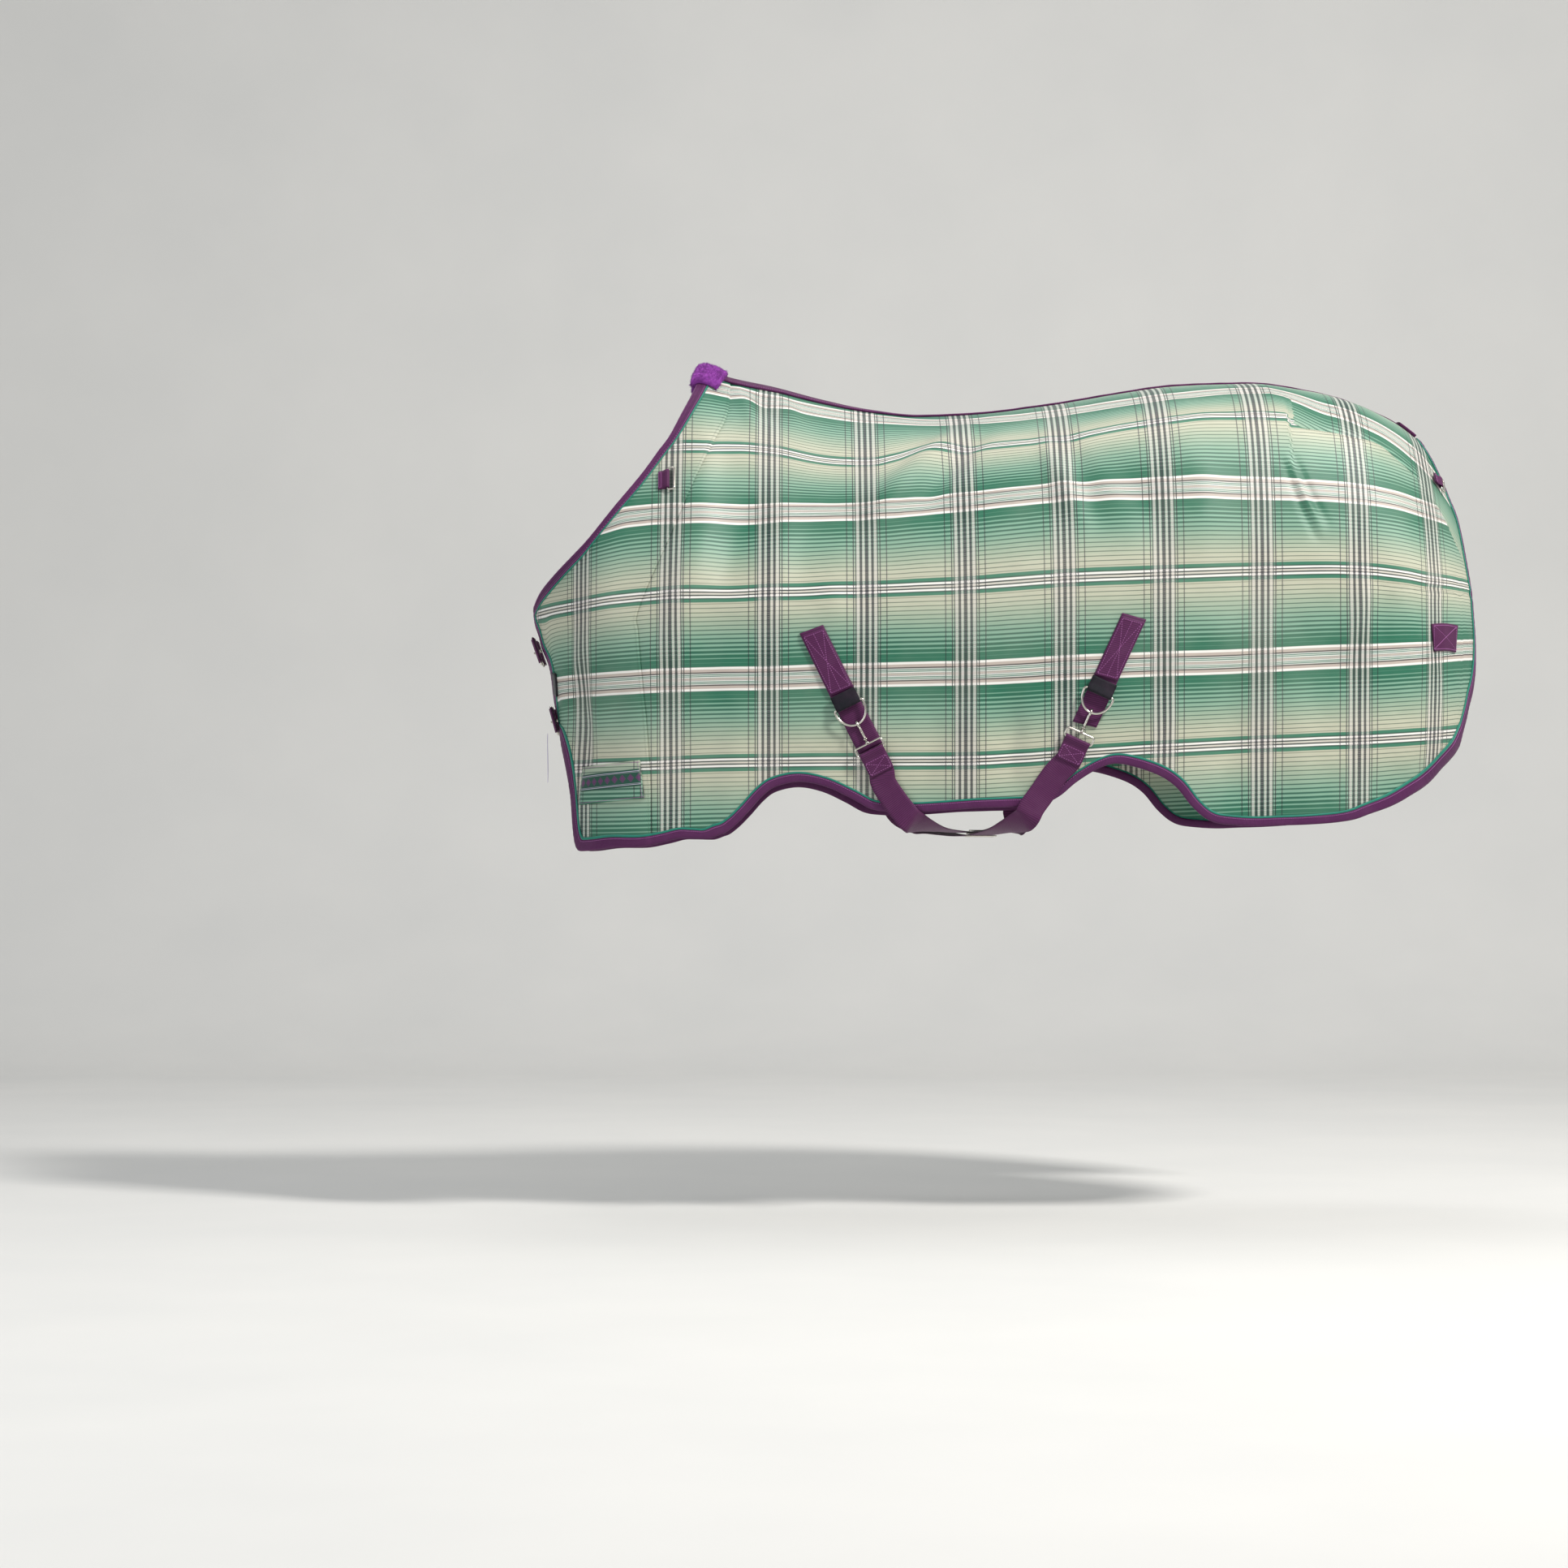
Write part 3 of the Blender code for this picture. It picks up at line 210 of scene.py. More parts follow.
def curve_through(points, step):
    """Centripetal-like cubic through 2D or 3D points, resampled about every step."""
    p = np.array(points, float)
    ends = [2 * p[0] - p[1], *p, 2 * p[-1] - p[-2]]
    out = []
    for k in range(1, len(ends) - 2):
        p0, p1, p2, p3 = (np.array(q) for q in ends[k - 1:k + 3])
        for t in np.linspace(0, 1, 12, endpoint=False):
            out.append(0.5 * (2 * p1 + (p2 - p0) * t + (2 * p0 - 5 * p1 + 4 * p2 - p3) * t**2
                              + (3 * p1 - p0 - 3 * p2 + p3) * t**3))
    out.append(p[-1])
    out = np.array(out)
    run = np.concatenate([[0], np.cumsum(np.linalg.norm(np.diff(out, axis=0), axis=1))])
    n = max(2, int(round(run[-1] / step)) + 1)
    at = np.linspace(0, run[-1], n)
    return np.stack([np.interp(at, run, out[:, c]) for c in range(out.shape[1])], 1)


def to_pattern(outline):
    return [pattern(x, z) for x, z in outline]


# ---------------------------------------------------------------- fast forms of the surface
def surf(a, v):
    """Rows of (x, half width, z) at arrays of flat-pattern places."""
    f = np.clip((np.asarray(a, float) - A_FROM) / (A_TO - A_FROM), 0, 1) * (NX - 1)
    g = np.clip(np.asarray(v, float) / V_MOST, 0, 1) * (NV - 1)
    i, j = np.minimum(f.astype(int), NX - 2), np.minimum(g.astype(int), NV - 2)
    f, g = (f - i)[..., None], (g - j)[..., None]
    return ((_grid[i, j] * (1 - f) + _grid[i + 1, j] * f) * (1 - g)
            + (_grid[i, j + 1] * (1 - f) + _grid[i + 1, j + 1] * f) * g)


def norm_of(a, v):
    a, v = np.asarray(a, float), np.asarray(v, float)
    e = 0.006
    ta = surf(a + e, v) - surf(a - e, v)
    low = v < e
    tv = np.where(low[..., None], surf(a, v + 2 * e) - surf(a, v), surf(a, v + e) - surf(a, v - e))
    tv = np.where((v < 1e-6)[..., None], np.array([0, 1.0, 0]), tv)
    n = np.cross(tv, ta)
    flip = np.where(v < 1e-6, n[..., 2] < 0, (n[..., 1] < 0))
    n = np.where(flip[..., None], -n, n)
    return n / np.linalg.norm(n, axis=-1)[..., None]


def dist_to(points, line):
    """Distance from each point to a polyline, and how far along it the nearest place is (0 to 1)."""
    best, along = np.full(len(points), 9.0), np.zeros(len(points))
    line = np.asarray(line, float)
    run = np.concatenate([[0], np.cumsum(np.linalg.norm(np.diff(line, axis=0), axis=1))])
    for k in range(len(line) - 1):
        d = line[k + 1] - line[k]
        t = np.clip(((points - line[k]) @ d) / (d @ d), 0, 1)
        r = np.linalg.norm(points - line[k] - t[:, None] * d, axis=1)
        near = r < best
        best = np.where(near, r, best)
        along = np.where(near, (run[k] + t * (run[k + 1] - run[k])) / run[-1], along)
    return best, along


def flat_line(points):
    return np.array([pattern(x, z) for x, z in points])


# folds in the cloth: side-view line, height (+ stands out, - a valley), half width
FOLDS = [
    ([(-0.500, 0.045), (-0.480, 0.0), (-0.470, -0.045)], 0.0045, 0.016),
    ([(-0.462, 0.040), (-0.445, 0.0), (-0.425, -0.035)], -0.0040, 0.015),
    ([(-0.420, 0.035), (-0.400, 0.0), (-0.385, -0.030)], 0.0030, 0.015),
    ([(-0.060, -0.045), (-0.120, -0.085), (-0.190, -0.150), (-0.235, -0.215)], 0.0085, 0.024),
    ([(-0.030, -0.055), (-0.085, -0.115), (-0.150, -0.200)], -0.0070, 0.022),
    ([(0.085, -0.070), (0.105, -0.140), (0.140, -0.235)], 0.0055, 0.022),
    ([(0.120, -0.060), (0.150, -0.150), (0.185, -0.250)], -0.0045, 0.024),
    ([(0.525, -0.125), (0.545, -0.190), (0.578, -0.270)], -0.0040, 0.007),
    ([(0.540, -0.110), (0.565, -0.175), (0.600, -0.240)], -0.0030, 0.007),
    ([(0.530, -0.115), (0.555, -0.185), (0.590, -0.260)], 0.0035, 0.009),
    ([(0.680, -0.352), (0.660, -0.410), (0.630, -0.480)], 0.0060, 0.020),
    ([(0.720, -0.362), (0.705, -0.420), (0.700, -0.490)], -0.0045, 0.020),
    ([(-0.800, -0.520), (-0.790, -0.600), (-0.778, -0.690)], -0.0080, 0.020),
    ([(-0.835, -0.560), (-0.828, -0.640), (-0.815, -0.720)], 0.0060, 0.018),
    ([(-0.760, -0.540), (-0.752, -0.620), (-0.745, -0.700)], 0.0040, 0.022),
    ([(-0.560, -0.240), (-0.600, -0.370), (-0.650, -0.520)], 0.0070, 0.042),
    ([(-0.470, -0.180), (-0.520, -0.330), (-0.560, -0.480)], -0.0055, 0.040),
    ([(-0.400, -0.200), (-0.430, -0.340), (-0.440, -0.460)], 0.0045, 0.034),
    ([(-0.300, -0.260), (-0.320, -0.380), (-0.310, -0.500)], 0.0035, 0.030),
    ([(-0.060, -0.560), (-0.050, -0.660), (-0.055, -0.750)], 0.0060, 0.032),
    ([(0.010, -0.580), (0.020, -0.670), (0.012, -0.750)], -0.0055, 0.030),
    ([(-0.140, -0.600), (-0.150, -0.680), (-0.145, -0.760)], -0.0050, 0.030),
    ([(0.300, -0.480), (0.290, -0.580), (0.270, -0.680)], 0.0050, 0.030),
    ([(0.430, -0.520), (0.425, -0.640), (0.415, -0.780)], -0.0050, 0.034),
    ([(0.540, -0.560), (0.550, -0.670), (0.560, -0.780)], 0.0050, 0.036),
    ([(-0.480, -0.560), (-0.500, -0.660), (-0.520, -0.760)], 0.0050, 0.030),
    ([(-0.600, -0.600), (-0.610, -0.700), (-0.620, -0.800)], -0.0040, 0.028),
    ([(0.200, -0.120), (0.260, -0.200), (0.300, -0.300)], -0.0035, 0.030),
    ([(0.360, -0.080), (0.370, -0.180), (0.360, -0.300)], 0.0035, 0.034),
]
DART = [(0.548, -0.046), (0.568, -0.054), (0.628, -0.063), (0.666, -0.071), (0.714, -0.083), (0.748, -0.110), (0.772, -0.129), (0.792, -0.150)]
TUCK = [(0.690, -0.3515), (0.717, -0.3545), (0.740, -0.3575), (0.773, -0.3575), (0.815, -0.3590), (0.868, -0.3635), (0.900, -0.3640)]
QUIET = [((-0.630, -0.150), 0.05, 0.09), ((-0.300, -0.560), 0.09, 0.16), ((-0.240, -0.660), 0.07, 0.12), ((0.180, -0.540), 0.09, 0.16),
         ((0.130, -0.650), 0.07, 0.12), ((0.838, -0.150), 0.05, 0.08), ((0.825, -0.452), 0.05, 0.09), ((-0.735, -0.722), 0.06, 0.10)]
_folds = [(curve_through(flat_line(p), 0.012), h, w) for p, h, w in FOLDS]
_dart, _tuck = curve_through(flat_line(DART), 0.008), curve_through(flat_line(TUCK), 0.008)
_seam = curve_through(flat_line(SEAM), 0.012)
_quiet = [(np.array(pattern(*c)), r0, r1) for c, r0, r1 in QUIET]


def soft_noise(a, v, scale, seed):
    return np.array([noise.noise(Vector((x / scale + seed, y / scale - seed, seed * 3.7))) for x, y in zip(a, v)])


def relief(side, a, v):
    """How far the cloth stands off its plain drape."""
    shape = np.shape(a)
    a, v = np.ravel(a), np.ravel(v)
    p = np.stack([a, v], 1)
    out = np.zeros(len(p))
    lo_a = a * (1.0 if side < 0 else 0.97) + (0.0 if side < 0 else 0.02)
    q = np.stack([lo_a, v], 1)
    for line, h, w in _folds:
        box_lo, box_hi = line.min(0) - 3 * w, line.max(0) + 3 * w
        near = ((q > box_lo) & (q < box_hi)).all(1)
        if near.any():
            d, t = dist_to(q[near], line)
            out[near] += 1.3 * h * np.exp(-(d / w) ** 2) * np.sin(np.pi * np.clip(t * 0.9 + 0.05, 0, 1)) ** 0.6
    out += 0.0030 * soft_noise(a, v, 0.16, 3.1 + side) + 0.0011 * soft_noise(a, v, 0.055, 8.3 + side)
    for c, r0, r1 in _quiet:
        d = np.linalg.norm(p - c, axis=1)
        out *= np.clip((d - r0) / (r1 - r0), 0, 1) ** 1.5
    calm = np.clip((v - 0.012) / 0.05, 0, 1)
    out *= calm
    for line, h, w in ((_dart, -0.0016, 0.004), (_tuck, -0.0016, 0.004), (_seam, -0.0010, 0.0035)):
        box_lo, box_hi = line.min(0) - 0.03, line.max(0) + 0.03
        near = ((p > box_lo) & (p < box_hi)).all(1)
        if near.any():
            d, t = dist_to(p[near], line)
            out[near] += (h * np.exp(-(d / w) ** 2) + 0.0006 * np.exp(-((d - 0.008) / 0.004) ** 2)) * calm[near]
    return out.reshape(shape)


def put(side, a, v, out=0.0, drape=1.0):
    """World points on a side (-1 left, +1 right), raised from the draped cloth by out. side may be an array."""
    a, v = np.broadcast_arrays(np.asarray(a, float), np.asarray(v, float))
    side = np.broadcast_to(np.asarray(side, float), a.shape)
    h = np.broadcast_to(np.asarray(out, float), a.shape).copy()
    if drape:
        for s in (-1, 1):
            m = side == s
            if m.any():
                h[m] += drape * relief(s, a[m], np.abs(v[m]))
    p = surf(a, np.abs(v)) + h[..., None] * norm_of(a, np.abs(v))
    p[..., 1] *= side
    return p


# ---------------------------------------------------------------- mesh helpers
def link(ob, body="rug"):
    scene.collection.objects.link(ob)
    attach(ob, body)
    return ob


def mesh_piece(name, verts, faces, mat, body="rug", uv=None, smooth=True, uv_name="cloth", replaces=(), matrix=None, orient=None):
    """A mesh object from points and faces; uv is one (u, v) per vertex, or one per face corner."""
    mesh = bpy.data.meshes.new(name)
    mesh.from_pydata([tuple(map(float, v)) for v in verts], [], [tuple(map(int, f)) for f in faces])
    if uv is not None:
        layer = mesh.uv_layers.new(name=uv_name)
        uv = np.asarray(uv, np.float32)
        if len(uv) == len(verts) and len(uv) != len(mesh.loops):
            idx = np.zeros(len(mesh.loops), np.int32)
            mesh.loops.foreach_get("vertex_index", idx)
            uv = uv[idx]
        layer.data.foreach_set("uv", uv.ravel())
    if orient == "recalc":
        bm = bmesh.new()
        bm.from_mesh(mesh)
        bmesh.ops.recalc_face_normals(bm, faces=bm.faces)
        bm.to_mesh(mesh)
        bm.free()
    mesh.materials.append(mat)
    if smooth:
        mesh.shade_smooth()
    ob = bpy.data.objects.new(name, mesh)
    if matrix is not None:
        ob.matrix_world = matrix
    link(ob, body)
    if replaces:
        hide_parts(*replaces)
    return ob


def tube_faces(rows, n, closed_ring=True, closed_path=False, caps=True):
    faces = []
    last = rows if closed_path else rows - 1
    for i in range(last):
        j = (i + 1) % rows
        for k in range(n if closed_ring else n - 1):
            m = (k + 1) % n
            faces.append((i * n + k, j * n + k, j * n + m, i * n + m))
    if caps and closed_ring and not closed_path:
        faces += [tuple(range(n)), tuple((rows - 1) * n + k for k in reversed(range(n)))]
    return faces


def frame_at(side, av, toward, height, inward=False):
    """Local frame on the cloth: X along a ring's bar, Y away from its tab, Z off the cloth."""
    a, v = av
    n = normal(a, v)
    n = Vector((n[0], side * n[1], n[2]))
    if inward:
        n = -n
    o = place(side, a, v) + n * height
    q = place(side, a + toward[0] * 0.004, v + toward[1] * 0.004) - place(side, a, v)
    y = (q - n * q.dot(n)).normalized()
    x = y.cross(n).normalized()
    m = Matrix((x, y, n)).transposed().to_4x4()
    m.translation = o
    return m


def arc(cx, cy, r, start, end, n):
    return [(cx + r * math.cos(math.radians(t)), cy + r * math.sin(math.radians(t))) for t in np.linspace(start, end, n)]


def smooth_loop(points, step, closed=False):
    """Points resampled on a smooth curve through them."""
    p = [tuple(map(float, q)) for q in points]
    if closed:
        ext = p[-3:] + p + p[:4]
        c = curve_through(ext, step)
        run = np.concatenate([[0], np.cumsum(np.linalg.norm(np.diff(c, axis=0), axis=1))])
        s0 = np.argmin(np.linalg.norm(c[:len(c) // 2] - np.array(p[0]), axis=1))
        s1 = len(c) // 2 + np.argmin(np.linalg.norm(c[len(c) // 2:] - np.array(p[0]), axis=1))
        return c[s0:s1]
    return curve_through(p, step)


def wire(name, splines, matrix, mat, body, replaces=(), sides=5):
    """Bent wires as one curve object: each spline is (points, radius or radii, cyclic)."""
    c = bpy.data.curves.new(name, "CURVE")
    c.dimensions = "3D"
    c.bevel_depth = 1.0
    c.bevel_resolution = sides
    c.use_fill_caps = True
    for points, radius, cyclic in splines:
        s = c.splines.new("POLY")
        s.points.add(len(points) - 1)
        r = np.broadcast_to(np.asarray(radius, float), (len(points),))
        for k, p in enumerate(points):
            s.points[k].co = (*map(float, p), 1)
            s.points[k].radius = float(r[k])
        s.use_cyclic_u = cyclic
        s.use_smooth = True
    ob = bpy.data.objects.new(name, c)
    ob.matrix_world = matrix
    c.materials.append(mat)
    bpy.context.view_layer.update()
    scene.collection.objects.link(ob)
    bpy.context.view_layer.update()
    mesh = bpy.data.meshes.new_from_object(ob.evaluated_get(bpy.context.evaluated_depsgraph_get()))
    bpy.data.objects.remove(ob, do_unlink=True)
    bm = bmesh.new()
    bm.from_mesh(mesh)
    bmesh.ops.remove_doubles(bm, verts=bm.verts, dist=1e-6)
    bmesh.ops.recalc_face_normals(bm, faces=bm.faces)
    bm.to_mesh(mesh)
    bm.free()
    mesh.shade_smooth()
    new = bpy.data.objects.new(name, mesh)
    new.matrix_world = matrix
    link(new, body)
    if replaces:
        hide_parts(*replaces)
    return new


# ---------------------------------------------------------------- materials
def lin(r, g, b):
    return tuple((c / 255 / 12.92) if c <= 10 else ((c / 255 + 0.055) / 1.055) ** 2.4 for c in (r, g, b)) + (1.0,)


class Graph:
    """Small helper for node trees."""

    def __init__(self, name, roughness=0.5, metallic=0.0, sheen=0.0, coat=0.0, coat_rough=0.2, specular=0.5, sheen_tint=(1, 1, 1, 1), sheen_rough=0.4, aniso=0.0):
        self.mat = bpy.data.materials.new(name)
        self.mat.use_nodes = True
        self.t = self.mat.node_tree
        self.b = self.t.nodes["Principled BSDF"]
        for key, value in (("Roughness", roughness), ("Metallic", metallic), ("Sheen Weight", sheen), ("Coat Weight", coat),
                           ("Coat Roughness", coat_rough), ("Specular IOR Level", specular), ("Sheen Tint", sheen_tint),
                           ("Sheen Roughness", sheen_rough), ("Anisotropic", aniso)):
            self.b.inputs[key].default_value = value

    def put(self, socket, value):
        if hasattr(value, "links") or hasattr(value, "is_linked"):
            self.t.links.new(value, socket)
        elif isinstance(value, (tuple, list)):
            socket.default_value = value if len(value) == len(socket.default_value) else tuple(value)[:len(socket.default_value)]
        else:
            socket.default_value = value

    def uv(self, name="cloth"):
        n = self.t.nodes.new("ShaderNodeUVMap")
        n.uv_map = name
        s = self.t.nodes.new("ShaderNodeSeparateXYZ")
        self.t.links.new(n.outputs[0], s.inputs[0])
        return s.outputs[0], s.outputs[1]

    def place(self):
        return self.t.nodes.new("ShaderNodeTexCoord").outputs["Object"]

    def split(self, vec):
        s = self.t.nodes.new("ShaderNodeSeparateXYZ")
        self.t.links.new(vec, s.inputs[0])
        return s.outputs

    def join(self, x, y, z=0.0):
        n = self.t.nodes.new("ShaderNodeCombineXYZ")
        for s, v in zip(n.inputs, (x, y, z)):
            self.put(s, v)
        return n.outputs[0]

    def m(self, op, a, b=None, c=None, clamp=False):
        n = self.t.nodes.new("ShaderNodeMath")
        n.operation = op
        n.use_clamp = clamp
        for s, v in zip(n.inputs, (a, b, c)):
            if v is not None:
                self.put(s, v)
        return n.outputs[0]

    def ramp(self, fac, stops, mode="LINEAR"):
        n = self.t.nodes.new("ShaderNodeValToRGB")
        n.color_ramp.interpolation = mode
        e = n.color_ramp.elements
        while len(e) > 1:
            e.remove(e[-1])
        for k, (p, col) in enumerate(stops):
            col = (col, col, col, 1) if isinstance(col, (int, float)) else col
            if k == 0:
                e[0].position, e[0].color = p, col
            else:
                e.new(p).color = col
        self.put(n.inputs[0], fac)
        return n.outputs[0]

    def mix(self, fac, a, b, blend="MIX"):
        n = self.t.nodes.new("ShaderNodeMix")
        n.data_type = "RGBA"
        n.blend_type = blend
        n.clamp_factor = True
        self.put(n.inputs[0], fac)
        self.put(n.inputs[6], a)
        self.put(n.inputs[7], b)
        return n.outputs[2]

    def noise(self, vec, scale, detail=3.0, rough=0.5):
        n = self.t.nodes.new("ShaderNodeTexNoise")
        self.put(n.inputs["Vector"], vec)
        n.inputs["Scale"].default_value = scale
        n.inputs["Detail"].default_value = detail
        n.inputs["Roughness"].default_value = rough
        return n.outputs[0]

    def band(self, x, lo, hi, soft):
        """1 where lo < x < hi, with soft edges."""
        up = self.m("MULTIPLY_ADD", x, 1 / soft, -lo / soft + 0.5, clamp=True)
        down = self.m("MULTIPLY_ADD", x, -1 / soft, hi / soft + 0.5, clamp=True)
        return self.m("MULTIPLY", up, down)

    def done(self, colour=None, rough=None, bump=None, strength=0.3, distance=0.001, alpha=None):
        if colour is not None:
            self.put(self.b.inputs["Base Color"], colour)
        if rough is not None:
            self.put(self.b.inputs["Roughness"], rough)
        if bump is not None:
            n = self.t.nodes.new("ShaderNodeBump")
            n.inputs["Strength"].default_value = strength
            n.inputs["Distance"].default_value = distance
            self.put(n.inputs["Height"], bump)
            self.put(self.b.inputs["Normal"], n.outputs[0])
        return self.mat


DEEP, SAGE, MINT = lin(34, 108, 82), lin(100, 136, 116), lin(128, 172, 150)
CREAM, WHITE, PINK = lin(192, 190, 170), lin(242, 239, 234), lin(192, 178, 168)
BROWN, DARK, MAUVE, INK = lin(86, 78, 74), lin(44, 58, 54), lin(128, 120, 116), lin(30, 46, 52)
HALF_WEFT, HALF_WARP, WARP_AT = 0.16325, 0.0919, -0.0735


def plaid_material(name, lift=1.0):
    g = Graph(name, roughness=0.42, sheen=0.05, sheen_rough=0.45, specular=0.45)
    u, w = g.uv("cloth")
    # each weft yarn steps over the warp, so stripe edges run in a fine zigzag
    zig = g.m("PINGPONG", g.m("ADD", u, 5.0), 0.0018)
    w1 = g.m("MULTIPLY_ADD", zig, 0.55, g.m("ADD", w, 10 * 2 * HALF_WEFT - 0.0005))
    wob = g.noise(g.join(u, w, 0.0), 9.0, 2.0)
    w1 = g.m("MULTIPLY_ADD", wob, 0.0014, w1)
    t = g.m("PINGPONG", w1, HALF_WEFT)
    zag = g.m("PINGPONG", g.m("ADD", w, 5.0), 0.0018)
    u1 = g.m("MULTIPLY_ADD", zag, 0.25, g.m("ADD", u, 20 * 2 * HALF_WARP - WARP_AT))
    s = g.m("PINGPONG", u1, HALF_WARP)
    # ombre ground: light yarns widen from the wide band towards the narrow one
    ph = g.m("ABSOLUTE", g.m("SUBTRACT", g.m("FRACT", g.m("MULTIPLY_ADD", t, 1 / 0.00836, -0.0392 / 0.00836 + 10.5)), 0.5))
    ph = g.m("MULTIPLY", ph, 2.0)
    duty = g.ramp(g.m("MULTIPLY", t, 1 / HALF_WEFT), [(0.0, 0.0), (0.205, 0.0), (0.225, 0.14), (0.33, 0.40), (0.45, 0.62), (0.60, 0.80), (0.75, 0.86), (1.0, 0.86)])
    light = g.m("MULTIPLY_ADD", g.m("SUBTRACT", duty, ph), 4.0, 0.5, clamp=True)
    pos = g.m("MULTIPLY", t, 1 / HALF_WEFT)
    light_col = g.ramp(pos, [(0.0, MINT), (0.30, lin(130, 174, 152)), (0.48, lin(136, 172, 150)), (0.66, lin(166, 182, 160)), (0.80, lin(192, 194, 172)), (1.0, lin(198, 194, 174))])
    yarn_col = g.ramp(pos, [(0.0, DEEP), (0.28, DEEP), (0.42, lin(56, 116, 94)), (0.56, lin(84, 128, 108)), (0.68, lin(120, 146, 124)), (0.80, lin(156, 160, 138)), (1.0, lin(168, 166, 146))])
    ground = g.mix(light, yarn_col, light_col)
    # fine dark dotted yarns down the middle of the dark lines
    dot = g.m("GREATER_THAN", g.m("PINGPONG", g.m("ADD", u, 5.0), 0.0018), 0.0008)
    dash = g.m("MULTIPLY", g.band(ph, 0.82, 2.0, 0.08), g.band(pos, 0.26, 0.88, 0.05))
    dash = g.m("MULTIPLY", dash, g.m("MULTIPLY_ADD", dot, 0.45, 0.45))
    ground = g.mix(dash, ground, lin(38, 76, 62))
    # wide band
    a_stops = [(0.0, PINK), (1.5, lin(70, 96, 84)), (2.7, WHITE), (4.3, lin(48, 116, 92)), (6.1, WHITE), (7.4, lin(48, 116, 92)), (9.3, WHITE), (10.7, lin(66, 60, 58)),
               (13.2, PINK), (18.4, WHITE), (23.0, DEEP)]
    a_col = g.ramp(g.m("MULTIPLY", t, 1 / 0.026), [(p / 26, c) for p, c in a_stops], "CONSTANT")
    in_a = g.m("LESS_THAN", t, 0.0232)
    col = g.mix(in_a, ground, a_col)
    # narrow band
    r = g.m("SUBTRACT", HALF_WEFT, t)
    b_stops = [(0.0, lin(212, 208, 196)), (1.7, lin(52, 60, 56)), (4.2, WHITE), (8.2, lin(44, 84, 70)), (10.6, lin(58, 124, 98)), (16.4, CREAM)]
    b_col = g.ramp(g.m("MULTIPLY", r, 1 / 0.020), [(p / 20, c) for p, c in b_stops], "CONSTANT")
    in_b = g.m("LESS_THAN", r, 0.0170)
    col = g.mix(in_b, col, b_col)
    # dotted dark yarn in the pinkish ribs of the wide band
    rib = g.m("MULTIPLY", g.band(t, 0.0012, 0.0032, 0.0006), g.m("MULTIPLY", dot, 0.5))
    col = g.mix(rib, col, WHITE)
    # warp stripes, woven through the weft
    cu = g.m("FRACT", g.m("MULTIPLY", g.m("ADD", w, 5.0), 1 / 0.0036))
    over = g.m("GREATER_THAN", cu, 0.38)
    dark_warp = g.m("ADD", g.m("ADD", g.band(s, -1.0, 0.0031, 0.0008), g.band(s, 0.0086, 0.0131, 0.0008)),
                    g.m("ADD", g.band(s, 0.0196, 0.0214, 0.0005), g.m("ADD", g.band(s, 0.0240, 0.0260, 0.0005), g.m("MULTIPLY", g.band(s, 0.0363, 0.0382, 0.0005), 0.9))), clamp=True)
    white_warp = g.m("ADD", g.band(s, 0.0040, 0.0079, 0.0009), g.band(s, 0.0139, 0.0188, 0.0009), clamp=True)
    pale = g.m("MULTIPLY", g.band(s, -1.0, 0.0235, 0.004), 0.10)
    col = g.mix(pale, col, lin(222, 226, 214))
    dk = g.m("MULTIPLY", dark_warp, g.m("MULTIPLY_ADD", over, 0.22, 0.72))
    warp_dark_col = g.mix(light, lin(16, 34, 38), lin(64, 56, 68))
    col = g.mix(dk, col, warp_dark_col)
    wk = g.m("MULTIPLY", white_warp, g.m("MULTIPLY_ADD", over, 0.34, 0.30))
    col = g.mix(wk, col, lin(224, 214, 210))
    # mesh: plaited yarns with tiny gaps, seen as a fine diagonal grain
    wa = g.m("SINE", g.m("MULTIPLY", g.m("ADD", u, w), 2 * math.pi / 0.0030))
    wb = g.m("SINE", g.m("MULTIPLY", g.m("SUBTRACT", u, w), 2 * math.pi / 0.0030))
    grain = g.m("MULTIPLY", wa, wb)
    col = g.mix(g.m("MULTIPLY_ADD", grain, 0.09, 0.09, clamp=True), col, lin(70, 84, 76), "MULTIPLY")
    # slubs, dust and sun-bleached patches
    wash = g.noise(g.join(u, w, 0.0), 3.2, 4.0, 0.6)
    col = g.mix(g.m("MULTIPLY_ADD", wash, 0.9, -0.38, clamp=True), col, g.mix(0.35, col, lin(222, 224, 206)))
    slub = g.noise(g.join(g.m("MULTIPLY", u, 0.06), w, 0.0), 620.0, 1.0)
    col = g.mix(g.m("MULTIPLY_ADD", slub, 0.5, -0.20, clamp=True), col, g.mix(0.5, col, lin(60, 74, 64)))
    rough = g.m("MULTIPLY_ADD", wash, 0.16, 0.34)
    rough = g.m("MULTIPLY_ADD", grain, 0.05, rough)
    height = g.m("MULTIPLY_ADD", grain, 0.5, g.m("MULTIPLY", g.m("ABSOLUTE", wa), 0.25))
    return g.done(col, rough, height, 0.35, 0.0006)


